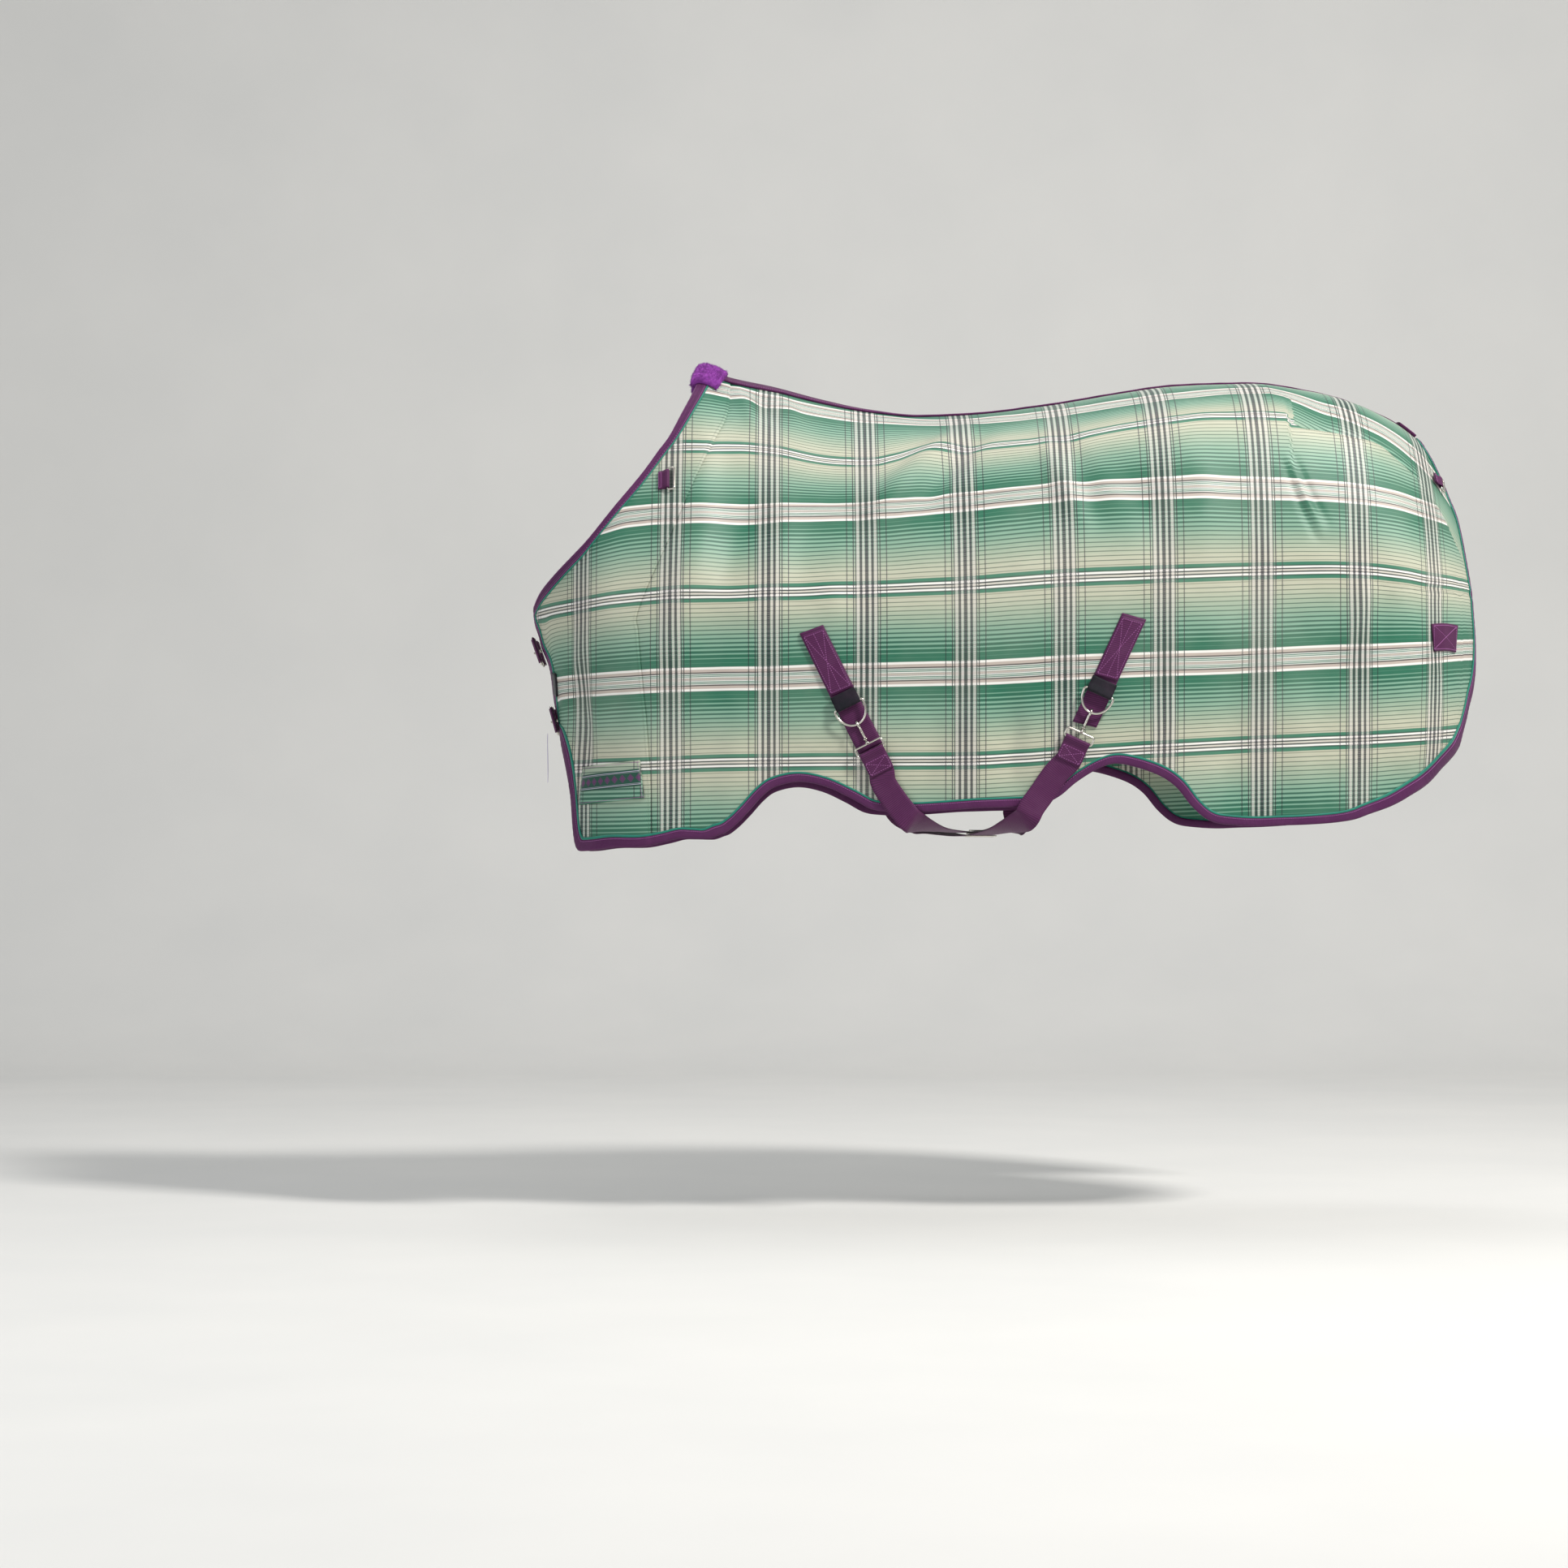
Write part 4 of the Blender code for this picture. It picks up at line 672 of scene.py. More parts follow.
def webbing_material(name, base, dark, pitch=0.0034, tint=1.0, rough=0.62, shine=0.3):
    """Ribbed woven strap: u runs along it, v across, in metres; the dark colour is painted shade in the grooves between
    the ribs.
    """
    g = Graph(name, roughness=rough, sheen=0.12, sheen_rough=0.35, specular=shine)
    u, v = g.uv("cloth")
    rib = g.m("ABSOLUTE", g.m("SINE", g.m("MULTIPLY", u, math.pi / pitch)))
    chev = g.m("ABSOLUTE", g.m("SINE", g.m("MULTIPLY", v, math.pi / 0.0016)))
    relief_and_painted_light = g.m("MULTIPLY_ADD", rib, 0.75, g.m("MULTIPLY", chev, 0.25))
    fibre = g.noise(g.join(g.m("MULTIPLY", u, 0.15), v, 0.0), 1500.0, 2.0)
    wear = g.noise(g.join(u, v, 0.0), 26.0, 4.0, 0.6)
    # painted shade: the colour falls to the dark one in the grooves between the ribs, the same grooves the bump sinks
    col = g.mix(g.m("MULTIPLY", relief_and_painted_light, 0.85), dark, base)
    col = g.mix(g.m("MULTIPLY_ADD", fibre, 0.6, -0.15, clamp=True), col, g.mix(tint * 0.14, col, lin(160, 96, 150)))
    col = g.mix(g.m("MULTIPLY_ADD", wear, 1.4, -0.62, clamp=True), col, g.mix(0.16, col, lin(140, 100, 132)))
    height = g.m("MULTIPLY_ADD", chev, 0.3, rib)
    r = g.m("MULTIPLY_ADD", wear, 0.2, rough - 0.10)
    return g.done(col, r, height, 0.55, 0.0005)


def fleece_material():
    g = Graph("fleece_look", roughness=0.9, sheen=0.35, sheen_rough=0.5, specular=0.2, sheen_tint=lin(225, 150, 235))
    p = g.place()
    big = g.noise(p, 70.0, 4.0, 0.6)
    fine = g.noise(p, 900.0, 3.0, 0.6)
    col = g.ramp(big, [(0.30, lin(76, 18, 90)), (0.48, lin(116, 36, 134)), (0.66, lin(152, 66, 170))])
    col = g.mix(g.m("MULTIPLY_ADD", fine, 1.6, -0.55, clamp=True), col, lin(170, 92, 186))
    return g.done(col, g.m("MULTIPLY_ADD", fine, 0.15, 0.82), fine, 0.8, 0.0012)


def metal_material():
    g = Graph("nickel_look", roughness=0.24, metallic=1.0)
    p = g.place()
    a, b = g.noise(p, 60.0, 4.0), g.noise(p, 900.0, 2.0)
    col = g.mix(g.m("MULTIPLY_ADD", a, 1.4, -0.5, clamp=True), lin(214, 210, 202), lin(168, 160, 148))
    rough = g.m("MULTIPLY_ADD", a, 0.22, 0.12)
    return g.done(col, rough, b, 0.06, 0.0003)


def plain_cloth(name, base, other, rough=0.6, scale=0.0012, sheen=0.3, depth=0.35):
    """Fine plain weave on u, v in metres."""
    g = Graph(name, roughness=rough, sheen=sheen, sheen_rough=0.4, specular=0.35)
    u, v = g.uv("cloth")
    a = g.m("ABSOLUTE", g.m("SINE", g.m("MULTIPLY", u, math.pi / scale)))
    b = g.m("ABSOLUTE", g.m("SINE", g.m("MULTIPLY", v, math.pi / scale)))
    relief_and_painted_light = g.m("MULTIPLY", a, b)
    wear = g.noise(g.join(u, v, 0.0), 22.0, 4.0, 0.6)
    col = g.mix(g.m("MULTIPLY_ADD", wear, 1.2, -0.2, clamp=True), base, other)
    # painted highlight: soft-light white brightens the thread crossings, where the weave bump stands highest
    col = g.mix(g.m("MULTIPLY", relief_and_painted_light, 0.22), col, lin(255, 255, 255), "SOFT_LIGHT")
    return g.done(col, g.m("MULTIPLY_ADD", wear, 0.2, rough - 0.1), relief_and_painted_light, depth, 0.0004)


def label_material():
    """Woven ribbon with a plain border and a row of small lozenges; u along, v across from its middle."""
    g = Graph("label_look", roughness=0.55, sheen=0.3, specular=0.4)
    u, v = g.uv("cloth")
    edge = g.m("ABSOLUTE", v)
    line = g.m("ADD", g.band(edge, 0.0122, 0.0130, 0.0003), g.m("MULTIPLY", g.band(edge, 0.0102, 0.0107, 0.0003), 0.8), clamp=True)
    loz = g.m("ADD", g.m("PINGPONG", g.m("ADD", u, 1.0), 0.0095), edge)
    shape = g.m("MULTIPLY", g.m("SUBTRACT", 1.0, g.band(loz, 0.0046, 0.0056, 0.0003)), g.m("SUBTRACT", 1.0, g.band(loz, 0.0078, 9.0, 0.0003)))
    shape = g.m("MULTIPLY", shape, g.band(edge, -1.0, 0.0075, 0.0003))
    weave = g.m("ABSOLUTE", g.m("SINE", g.m("MULTIPLY", v, math.pi / 0.0005)))
    wear = g.noise(g.join(u, v, 0.0), 60.0, 4.0)
    # painted highlight: the green is lighter on the weave ridges that the bump raises and darker between them
    col = g.mix(g.m("MULTIPLY", weave, 0.5), lin(6, 62, 48), lin(14, 86, 66))
    thread = g.mix(g.m("MULTIPLY", wear, 0.8), lin(196, 186, 214), lin(226, 220, 232))
    col = g.mix(g.m("MULTIPLY", shape, 0.9), col, lin(98, 36, 96))
    col = g.mix(line, col, thread)
    return g.done(col, g.m("MULTIPLY_ADD", wear, 0.2, 0.45), g.m("ADD", weave, g.m("MULTIPLY", line, 2.0)), 0.4, 0.0003)


def thread_material(name, base):
    g = Graph(name, roughness=0.5, sheen=0.3, specular=0.45)
    p = g.place()
    n = g.noise(p, 1400.0, 2.0)
    big = g.noise(p, 30.0, 3.0)
    col = g.mix(g.m("MULTIPLY", n, 0.6), base, tuple(min(1.0, c * 1.7 + 0.01) for c in base[:3]) + (1.0,))
    col = g.mix(g.m("MULTIPLY_ADD", big, 0.8, -0.3, clamp=True), col, tuple(c * 0.7 for c in base[:3]) + (1.0,))
    return g.done(col, g.m("MULTIPLY_ADD", n, 0.25, 0.4), n, 0.4, 0.0003)


PLAID = plaid_material("plaid_look")
# the second colour of each strap look is painted shade for the grooves between its ribs
WEBBING = webbing_material("webbing_look", lin(92, 24, 84), lin(30, 5, 28))
TABBING = webbing_material("tab_look", lin(92, 24, 82), lin(34, 7, 32), pitch=0.0021)
BINDING = webbing_material("binding_look", lin(96, 28, 92), lin(38, 8, 38), pitch=0.0019, rough=0.6)
PIPING = plain_cloth("piping_look", lin(8, 104, 88), lin(24, 128, 108), 0.5, 0.0010)
LINING = plain_cloth("lining_look", lin(84, 92, 44), lin(104, 112, 62), 0.5, 0.0009, 0.2)
ELASTIC = webbing_material("elastic_look", lin(22, 26, 34), lin(8, 10, 14), pitch=0.0012, rough=0.7, shine=0.2, tint=0.2)
FLEECE = fleece_material()
NICKEL = metal_material()
LABEL = label_material()
TAGCLOTH = plain_cloth("tag_look", lin(24, 26, 30), lin(38, 40, 46), 0.6, 0.0007)
PURPLE_THREAD = thread_material("purple_thread_look", lin(150, 84, 146))
DARK_THREAD = thread_material("dark_thread_look", lin(40, 62, 54))
STRING = thread_material("string_look", lin(206, 200, 226))


# ---------------------------------------------------------------- pattern lines at full detail
LOW = CLOTH / 2 + 0.0012
WEB_OUT = CLOTH / 2 + 0.0008 + WEB / 2
CLOTH_AT = 0.0006       # where the sheet lies: the web and tapes are sewn down onto it


def offset_path(path, distance, turn):
    p = np.array(path)
    t = np.gradient(p, axis=0)
    t /= np.linalg.norm(t, axis=1)[:, None]
    return p + np.stack([-t[:, 1], t[:, 0]], 1) * turn * np.reshape(distance, (-1, 1))


neck = curve_through(to_pattern(NECK), 0.005)
neck[0] = (pattern(-0.565, 0.084)[0], 0.0)
edge = curve_through(to_pattern(FRONT_EDGE) + to_pattern(HEM)[1:], 0.005)
edge[-1][1] = max(edge[-1][1], 1e-4)
seam = curve_through(to_pattern(SEAM), 0.008)
seam[0][1] = 0.0
_mid = len(edge) // 2
TURN = 1 if np.linalg.norm(offset_path(edge, 0.02, 1)[_mid] - (0, 0.45)) < np.linalg.norm(edge[_mid] - (0, 0.45)) else -1
rim = np.concatenate([neck, edge[1:]])


def inset_rim(extra, bind=0.0):
    """The rug's rim set in by this much, without the loops an offset makes at tight corners."""
    wide = np.concatenate([np.full(len(neck), extra + (NECK_BIND if bind else 0)), np.full(len(edge) - 1, extra + (EDGE_BIND if bind else 0))])
    p = offset_path(rim, wide, TURN)
    dn, de = dist_to(p, neck)[0], dist_to(p, edge)[0]
    least_n, least_e = extra + (NECK_BIND if bind else 0), extra + (EDGE_BIND if bind else 0)
    ok = (dn > least_n * 0.985 - 1e-4) & (de > least_e * 0.985 - 1e-4) & (p[:, 1] > 0)
    return p[ok], ok


def tidy(points, least):
    keep = [points[0]]
    for p in points[1:]:
        if np.linalg.norm(p - keep[-1]) > least:
            keep.append(p)
    if np.linalg.norm(keep[0] - keep[-1]) < least:
        keep.pop()
    return np.array(keep)


def within(points, outline):
    x0, y0 = outline[:, 0], outline[:, 1]
    x1, y1 = np.roll(x0, -1), np.roll(y0, -1)
    inside = np.zeros(len(points), bool)
    for k in range(len(outline)):
        if y0[k] != y1[k]:
            hit = (y0[k] > points[:, 1]) != (y1[k] > points[:, 1])
            inside ^= hit & (points[:, 0] < (x1[k] - x0[k]) * (points[:, 1] - y0[k]) / (y1[k] - y0[k]) + x0[k])
    return inside


def net_of(outline, spacing, lines=()):
    """Even triangles filling a flat outline, with edges along the given lines."""
    lo, hi = outline.min(0), outline.max(0)
    rows = np.arange(lo[1] + spacing / 2, hi[1], spacing * 0.866)
    cols = np.arange(lo[0] + spacing / 2, hi[0], spacing)
    g = np.array([(a + (r % 2) * spacing / 2, v) for r, v in enumerate(rows) for a in cols])
    g = g[within(g, outline)]
    g = g[dist_to(g, np.concatenate([outline, outline[:1]]))[0] > spacing * 0.5]
    flat, edges = [Vector(p) for p in outline], []
    for line in lines:
        line = line[within(line, outline)]
        if len(line) > 1:
            g = g[dist_to(g, line)[0] > spacing * 0.45]
            base = len(flat)
            flat += [Vector(p) for p in line]
            edges += [(base + k, base + k + 1) for k in range(len(line) - 1)]
    flat += [Vector(p) for p in g]
    verts, _, faces, *_ = geometry.delaunay_2d_cdt(flat, edges, [list(range(len(outline)))], 1, 1e-6)
    p = np.array([(v[0], max(v[1], 0.0)) for v in verts])
    f = np.array([t for t in faces if len(t) == 3])
    return p, f


# where the woven bands run on the draped rug, in side view, each with its place in the repeat
BANDS = [
    (-4 * HALF_WEFT, [(-0.60, 0.052), (-0.518, 0.0380), (-0.44, 0.0180), (-0.355, -0.0004), (-0.271, -0.0136), (-0.175, -0.0238), (-0.08, -0.0290), (0.014, -0.0250),
                      (0.109, -0.0148), (0.203, -0.0020), (0.297, 0.0105), (0.391, 0.0200), (0.451, 0.0250), (0.520, 0.0240)]),
    (-3 * HALF_WEFT, [(-0.915, -0.10), (-0.603, -0.0843), (-0.499, -0.0839), (-0.427, -0.0899), (-0.356, -0.1048), (-0.297, -0.1112), (-0.244, -0.1121),
                      (-0.202, -0.1035), (-0.143, -0.0885), (-0.037, -0.0825), (0.103, -0.0712), (0.197, -0.0535), (0.302, -0.0373), (0.384, -0.0282),
                      (0.477, -0.0276), (0.541, -0.0300)]),
    (-2 * HALF_WEFT, [(-0.915, -0.262), (-0.80, -0.245), (-0.751, -0.2331), (-0.698, -0.2204), (-0.615, -0.2148), (-0.533, -0.2147), (-0.439, -0.2142),
                      (-0.345, -0.2105), (-0.251, -0.2085), (-0.146, -0.2000), (-0.03, -0.1889), (0.097, -0.1792), (0.189, -0.1750), (0.304, -0.1741),
                      (0.373, -0.1743), (0.466, -0.1766), (0.548, -0.1786), (0.63, -0.1826), (0.728, -0.1929), (0.793, -0.2063), (0.854, -0.2172), (0.925, -0.232)]),
    (-HALF_WEFT, [(-0.912, -0.401), (-0.855, -0.3944), (-0.817, -0.3910), (-0.731, -0.3805), (-0.637, -0.3737), (-0.532, -0.3709), (-0.439, -0.3698),
                  (-0.346, -0.3663), (-0.253, -0.3630), (-0.091, -0.3585), (0.025, -0.3517), (0.14, -0.3442), (0.255, -0.3399), (0.371, -0.3349),
                  (0.488, -0.3309), (0.604, -0.3281), (0.675, -0.3300), (0.747, -0.3369), (0.798, -0.3441), (0.872, -0.3476), (0.932, -0.350)]),
    (0.0, [(-0.912, -0.541), (-0.839, -0.5390), (-0.793, -0.5385), (-0.708, -0.5362), (-0.625, -0.5324), (-0.532, -0.5305), (-0.439, -0.5296), (-0.346, -0.5264),
           (-0.253, -0.5245), (-0.16, -0.5227), (-0.068, -0.5215), (0.024, -0.5176), (0.116, -0.5120), (0.209, -0.5086), (0.301, -0.5050), (0.395, -0.5024),
           (0.488, -0.4975), (0.581, -0.4926), (0.675, -0.4888), (0.772, -0.4817), (0.853, -0.4720), (0.932, -0.462)]),
    (HALF_WEFT, [(-0.912, -0.698), (-0.795, -0.6942), (-0.672, -0.6918), (-0.555, -0.6875), (-0.439, -0.6854), (-0.253, -0.6846), (-0.068, -0.6835), (0.024, -0.6794),
                 (0.117, -0.6725), (0.209, -0.6668), (0.302, -0.6609), (0.395, -0.6561), (0.489, -0.6513), (0.582, -0.6477), (0.676, -0.6440), (0.774, -0.6374),
                 (0.827, -0.6326), (0.92, -0.622)]),
]


def band_line(points):
    """Depth below the spine along the pattern of a line that is smooth in side view."""
    height = smooth(points)
    flat = np.array([pattern(x, float(height(x))) for x in np.linspace(points[0][0], points[-1][0], 360)])
    return lambda a: np.interp(a, flat[:, 0], flat[:, 1])


_bands = [(w, band_line(points)) for w, points in BANDS]


def weft_place(a, v):
    """Place across the repeat (w) of a flat-pattern point, between the bands next to it."""
    lines = [line(a) for _, line in _bands]
    lines[1] = np.where(a < 0.54, np.minimum(lines[1], lines[2] - 0.08), lines[2] - 0.150)
    lines[0] = np.where(a < 0.51, np.minimum(lines[0], lines[1] - 0.03), np.minimum(croup_band(a), lines[1] - 0.03))
    ws = [w for w, _ in _bands]
    out = ws[0] + (v - lines[0])
    for k in range(len(ws) - 1):
        part = ws[k] + (v - lines[k]) * (ws[k + 1] - ws[k]) / np.maximum(lines[k + 1] - lines[k], 0.02)
        out = np.where(v >= lines[k], part, out)
    return np.where(v >= lines[-1], ws[-1] + (v - lines[-1]), out)


along_shift = smooth([(-0.95, 0.0), (0.55, 0.0), (0.661, 0.001), (0.817, 0.0285), (0.93, 0.040)])
croup_band = smooth([(0.44, 0.0725), (0.470, 0.115), (0.5062, 0.1448), (0.55, 0.1643), (0.6237, 0.1904), (0.6811, 0.1891),
                     (0.7214, 0.1813), (0.7696, 0.168), (0.8129, 0.1486), (0.90, 0.11)])
dart_v = smooth([(p[0], p[1]) for p in _dart[::3]])


def plaid_uv(a, v, above=False):
    w = np.where(above, -2 * HALF_WEFT + (v - croup_band(a)), weft_place(a, v))
    return np.stack([a + along_shift(a), w], -1)


def sheet_piece(name, side, net, out, mat, replaces, plaid=True):
    p, f = net
    a, v = p[:, 0], p[:, 1]
    h = out(a, v) if callable(out) else out
    verts = put(side, a, v, h)
    tri = verts[f]
    nrm = np.cross(tri[:, 1] - tri[:, 0], tri[:, 2] - tri[:, 0])
    if (nrm[:, 1] * side).sum() < 0:
        f = f[:, ::-1]
    if plaid:
        c = p[f].mean(1)
        above = (c[:, 0] > _dart[0][0]) & (c[:, 1] < dart_v(c[:, 0]))
        uv = plaid_uv(p[f][:, :, 0], p[f][:, :, 1], above[:, None])
        uv = uv.reshape(-1, 2)
    else:
        uv = p[f].reshape(-1, 2)
    ob = mesh_piece(name, verts, f, mat, uv=uv, replaces=replaces)
    area = float(np.abs(np.cross(p[f[:, 1]] - p[f[:, 0]], p[f[:, 2]] - p[f[:, 0]])).sum() / 2)
    span = p.max(0) - p.min(0)
    return ob, area, span


under, _ = inset_rim(0.0045)
cut_hem = int(np.argmin(np.linalg.norm(under - seam[-1], axis=1)))
front_part = [q for k, q in enumerate(under) if k <= cut_hem]
body_part = [q for k, q in enumerate(under) if k >= cut_hem]
seam_in = seam[(dist_to(seam, edge)[0] > 0.006)]
seam_front = seam_in
front_outline = tidy(np.array([[neck[0][0] + 0.0045, 0.0]] + front_part[:-1] + list(seam_front[::-1])), 0.0035)
tuck_in = offset_path(seam_in, 0.010, 1)
if tuck_in[:, 0].mean() > seam_in[:, 0].mean():
    tuck_in = offset_path(seam_in, -0.010, 1)
tuck_in[0][1] = 0.0
first = int(np.argmin(np.linalg.norm(under - tuck_in[-1], axis=1)))
body_rim = [q for k, q in enumerate(under) if k > first]
dock_end = edge[-1][0] - 0.005
ridge = [[a, 0.0] for a in np.arange(dock_end, tuck_in[0][0] + 0.004, -0.008)]
body_outline = tidy(np.array(list(tuck_in) + body_rim + ridge), 0.0035)
FINE = 0.0072
front_net = net_of(front_outline, FINE)
body_net = net_of(body_outline, FINE, [_dart, _tuck, seam_in])


def body_out(a, v):
    d, _ = dist_to(np.stack([a, v], 1), seam)
    return CLOTH_AT - 0.0022 * np.clip(1 - d / 0.016, 0, 1) ** 0.7 * (d < 0.016)


for side, word in ((-1, "left"), (1, "right")):
    ob, area, span = sheet_piece(f"{word}_front_cloth", side, front_net, CLOTH_AT + 0.0004, PLAID, [f"{word}_front_panel"])
    ob, area, span = sheet_piece(f"{word}_body_cloth", side, body_net, body_out, PLAID, [f"{word}_body_panel"])
lining_net = net_of(tidy(np.array([q for q in front_outline]), 0.006), 0.016)
for side, word in ((-1, "left"), (1, "right")):
    ob, area, span = sheet_piece(f"{word}_lining_cloth", side, lining_net, -0.0036, LINING, [f"{word}_shoulder_lining"], plaid=False)

# ---------------------------------------------------------------- strips sewn along the rim
def strip(name, side, path, profile, mat, replaces=(), ripple=0.0, base_turn=None, closed=False, ends=False):
    """Tape along a flat-pattern path; profile is (distance in, height) across it."""
    turn = TURN if base_turn is None else base_turn
    path = np.asarray(path, float)
    run = np.concatenate([[0], np.cumsum(np.linalg.norm(np.diff(path, axis=0), axis=1))])
    prof = np.array(profile, float)
    width = np.concatenate([[0], np.cumsum(np.linalg.norm(np.diff(prof, axis=0), axis=1))])
    t = np.gradient(path, axis=0)
    t /= np.linalg.norm(t, axis=1)[:, None]
    inward = np.stack([-t[:, 1], t[:, 0]], 1) * turn
    if isinstance(side, np.ndarray):
        pass
    q = path[:, None, :] + inward[:, None, :] * prof[None, :, 0:1]
    h = np.broadcast_to(prof[None, :, 1], q.shape[:2]).copy()
    if ripple:
        wob = np.sin(run * 2 * np.pi / 0.0135 + 1.7 * np.sin(run * 23.0)) * (0.6 + 0.4 * np.sin(run * 61.0))
        h += ripple * wob[:, None] * np.sign(prof[None, :, 1])
    sides = np.broadcast_to(np.asarray(side, float).reshape(-1, 1), q.shape[:2])
    flip = np.where(q[..., 1] < 0, -1.0, 1.0)
    verts = put(sides * flip, q[..., 0], q[..., 1], h)
    n = len(prof)
    uv = np.stack(np.broadcast_arrays(run[:, None], width[None, :]), -1).reshape(-1, 2)
    return mesh_piece(name, verts.reshape(-1, 3), tube_faces(len(path), n, closed_ring=closed, caps=closed), mat,
                      uv=uv, replaces=replaces, orient="recalc")


FOLD_TAPE = [(0.0150, 0.0002), (0.0147, 0.0021), (0.0138, 0.0028), (0.0110, 0.0030), (0.0070, 0.0031), (0.0035, 0.0029), (0.0010, 0.0022),
             (-0.0005, 0.0008), (-0.0007, -0.0008), (0.0004, -0.0020), (0.0040, -0.0026), (0.0095, -0.0027), (0.0140, -0.0024), (0.0147, -0.0002)]
NECK_TAPE = [(0.0213, 0.0002), (0.0210, 0.0022), (0.0200, 0.0029), (0.0170, 0.0032), (0.0135, 0.0031), (0.0115, 0.0028), (0.0106, 0.0021),
             (0.0097, 0.0028), (0.0070, 0.0033), (0.0030, 0.0031), (0.0008, 0.0023), (-0.0005, 0.0008), (-0.0007, -0.0008), (0.0004, -0.0020),
             (0.0050, -0.0027), (0.0150, -0.0027), (0.0205, -0.0022), (0.0212, -0.0002)]
for side, word in ((-1, "left"), (1, "right")):
    strip(f"{word}_edge_tape", side, edge[:-1], FOLD_TAPE, BINDING, [f"{word}_edge_binding"], ripple=0.00030)
# neck tape in one run, left throat over the withers to right throat
neck_runs = []
for side in (-1, 1):
    part = neck.copy()
    t = np.gradient(part, axis=0)
    t /= np.linalg.norm(t, axis=1)[:, None]
    inward = np.stack([-t[:, 1], t[:, 0]], 1) * TURN
    ease = np.clip(np.arange(len(part)) / 6.0, 0, 1)[:, None]
    inward = inward * ease + np.array([1.0, 0.0]) * (1 - ease)
    inward /= np.linalg.norm(inward, axis=1)[:, None]
    prof = np.array(NECK_TAPE)
    q = part[:, None, :] + inward[:, None, :] * prof[None, :, 0:1]
    h = np.broadcast_to(prof[None, :, 1], q.shape[:2]).copy()
    run = np.concatenate([[0], np.cumsum(np.linalg.norm(np.diff(part, axis=0), axis=1))])
    h += (0.00022 * np.sin(run * 2 * np.pi / 0.014 + 1.4 * np.sin(run * 19.0)))[:, None] * np.sign(prof[None, :, 1])
    verts = put(np.full(q.shape[:2], float(side)), q[..., 0], np.maximum(q[..., 1], 0.0), h)
    neck_runs.append((verts, run, np.concatenate([[0], np.cumsum(np.linalg.norm(np.diff(prof, axis=0), axis=1))])))
verts = np.concatenate([neck_runs[0][0][::-1], neck_runs[1][0][1:]])
run = np.concatenate([-neck_runs[0][1][::-1], neck_runs[1][1][1:]])
uv = np.stack(np.broadcast_arrays(run[:, None], neck_runs[0][2][None, :]), -1).reshape(-1, 2)
mesh_piece("neck_tape", verts.reshape(-1, 3), tube_faces(len(verts), len(NECK_TAPE), closed_ring=False, caps=False), BINDING,
           uv=uv, replaces=["neck_binding"], orient="recalc")

# piping bead just inside the tapes
pipe_line, _ = inset_rim(0.0018, bind=1)
pipe_line = tidy(pipe_line, 0.003)
ring = [(0.0019 * math.cos(t), 0.0016 + 0.0017 * math.sin(t)) for t in np.linspace(0, 2 * np.pi, 10, endpoint=False)]
for side, word in ((-1, "left"), (1, "right")):
    strip(f"{word}_piping_bead", side, pipe_line[3:-3], ring, PIPING, [f"{word}_piping"], ripple=0.0, closed=True)


# ---------------------------------------------------------------- straps and patches lying on the cloth
def square_to(side, c, d):
    """Flat-pattern step of one metre that crosses direction d at right angles once it lies on the body."""
    h = 0.004
    o = place(side, *c)
    e = [(place(side, c[0] + h, c[1]) - o) / h, (place(side, c[0], c[1] + h) - o) / h]
    g = np.array([[e[i].dot(e[j]) for j in (0, 1)] for i in (0, 1)])
    s = np.array([-(g @ d)[1], (g @ d)[0]])
    return s / math.sqrt(s @ g @ s)


def laid(name, side, line, width, out, thick, mat, replaces=(), step=0.005, across=8, uv_fn=None, square=False, sink=True, drape=1.0):
    """Webbing laid flat on the cloth along a pattern line; a side of 0 lets it run over the spine."""
    line = np.asarray(line, float)
    run = np.concatenate([[0], np.cumsum(np.linalg.norm(np.diff(line, axis=0), axis=1))])
    n = max(3, int(run[-1] / step) + 1)
    at = np.linspace(0, run[-1], n)
    line = np.stack([np.interp(at, run, line[:, c]) for c in (0, 1)], 1)
    t = np.gradient(line, axis=0)
    t /= np.linalg.norm(t, axis=1)[:, None]
    s = np.stack([-t[:, 1], t[:, 0]], 1)
    if square:
        s = np.array([square_to(side, c, d) for c, d in zip(line, t)])
    half = width / 2
    xs = np.linspace(-half + 0.0004, half - 0.0004, across + 1)
    top = [(x, out + thick / 2) for x in xs]
    prof = [(-half, out - thick * 0.1)] + top + [(half, out - thick * 0.1)]
    low = 0.0 if sink else out - thick / 2
    prof = [(-half + 0.0002, low)] + prof + [(half - 0.0002, low)]
    prof = np.array(prof)
    q = line[:, None, :] + s[:, None, :] * prof[None, :, 0:1]
    h = np.broadcast_to(prof[None, :, 1], q.shape[:2]).copy()
    wob = 0.00025 * np.sin(at * 2 * np.pi / 0.047 + 1.3)[:, None] * np.abs(prof[None, :, 0] / half) ** 2
    h += wob * (prof[None, :, 1] > 0.0005)
    if side == 0:
        sides = np.where(q[..., 1] < 0, -1.0, 1.0)
    else:
        sides = np.full(q.shape[:2], float(side))
    verts = put(sides, q[..., 0], q[..., 1], h, drape)
    if uv_fn is None:
        uv = np.stack(np.broadcast_arrays(at[:, None], prof[None, :, 0]), -1).reshape(-1, 2)
    else:
        uv = uv_fn(q[..., 0], np.abs(q[..., 1])).reshape(-1, 2)
    return mesh_piece(name, verts.reshape(-1, 3), tube_faces(n, len(prof), closed_ring=True, caps=True), mat, uv=uv, replaces=replaces, orient="recalc")


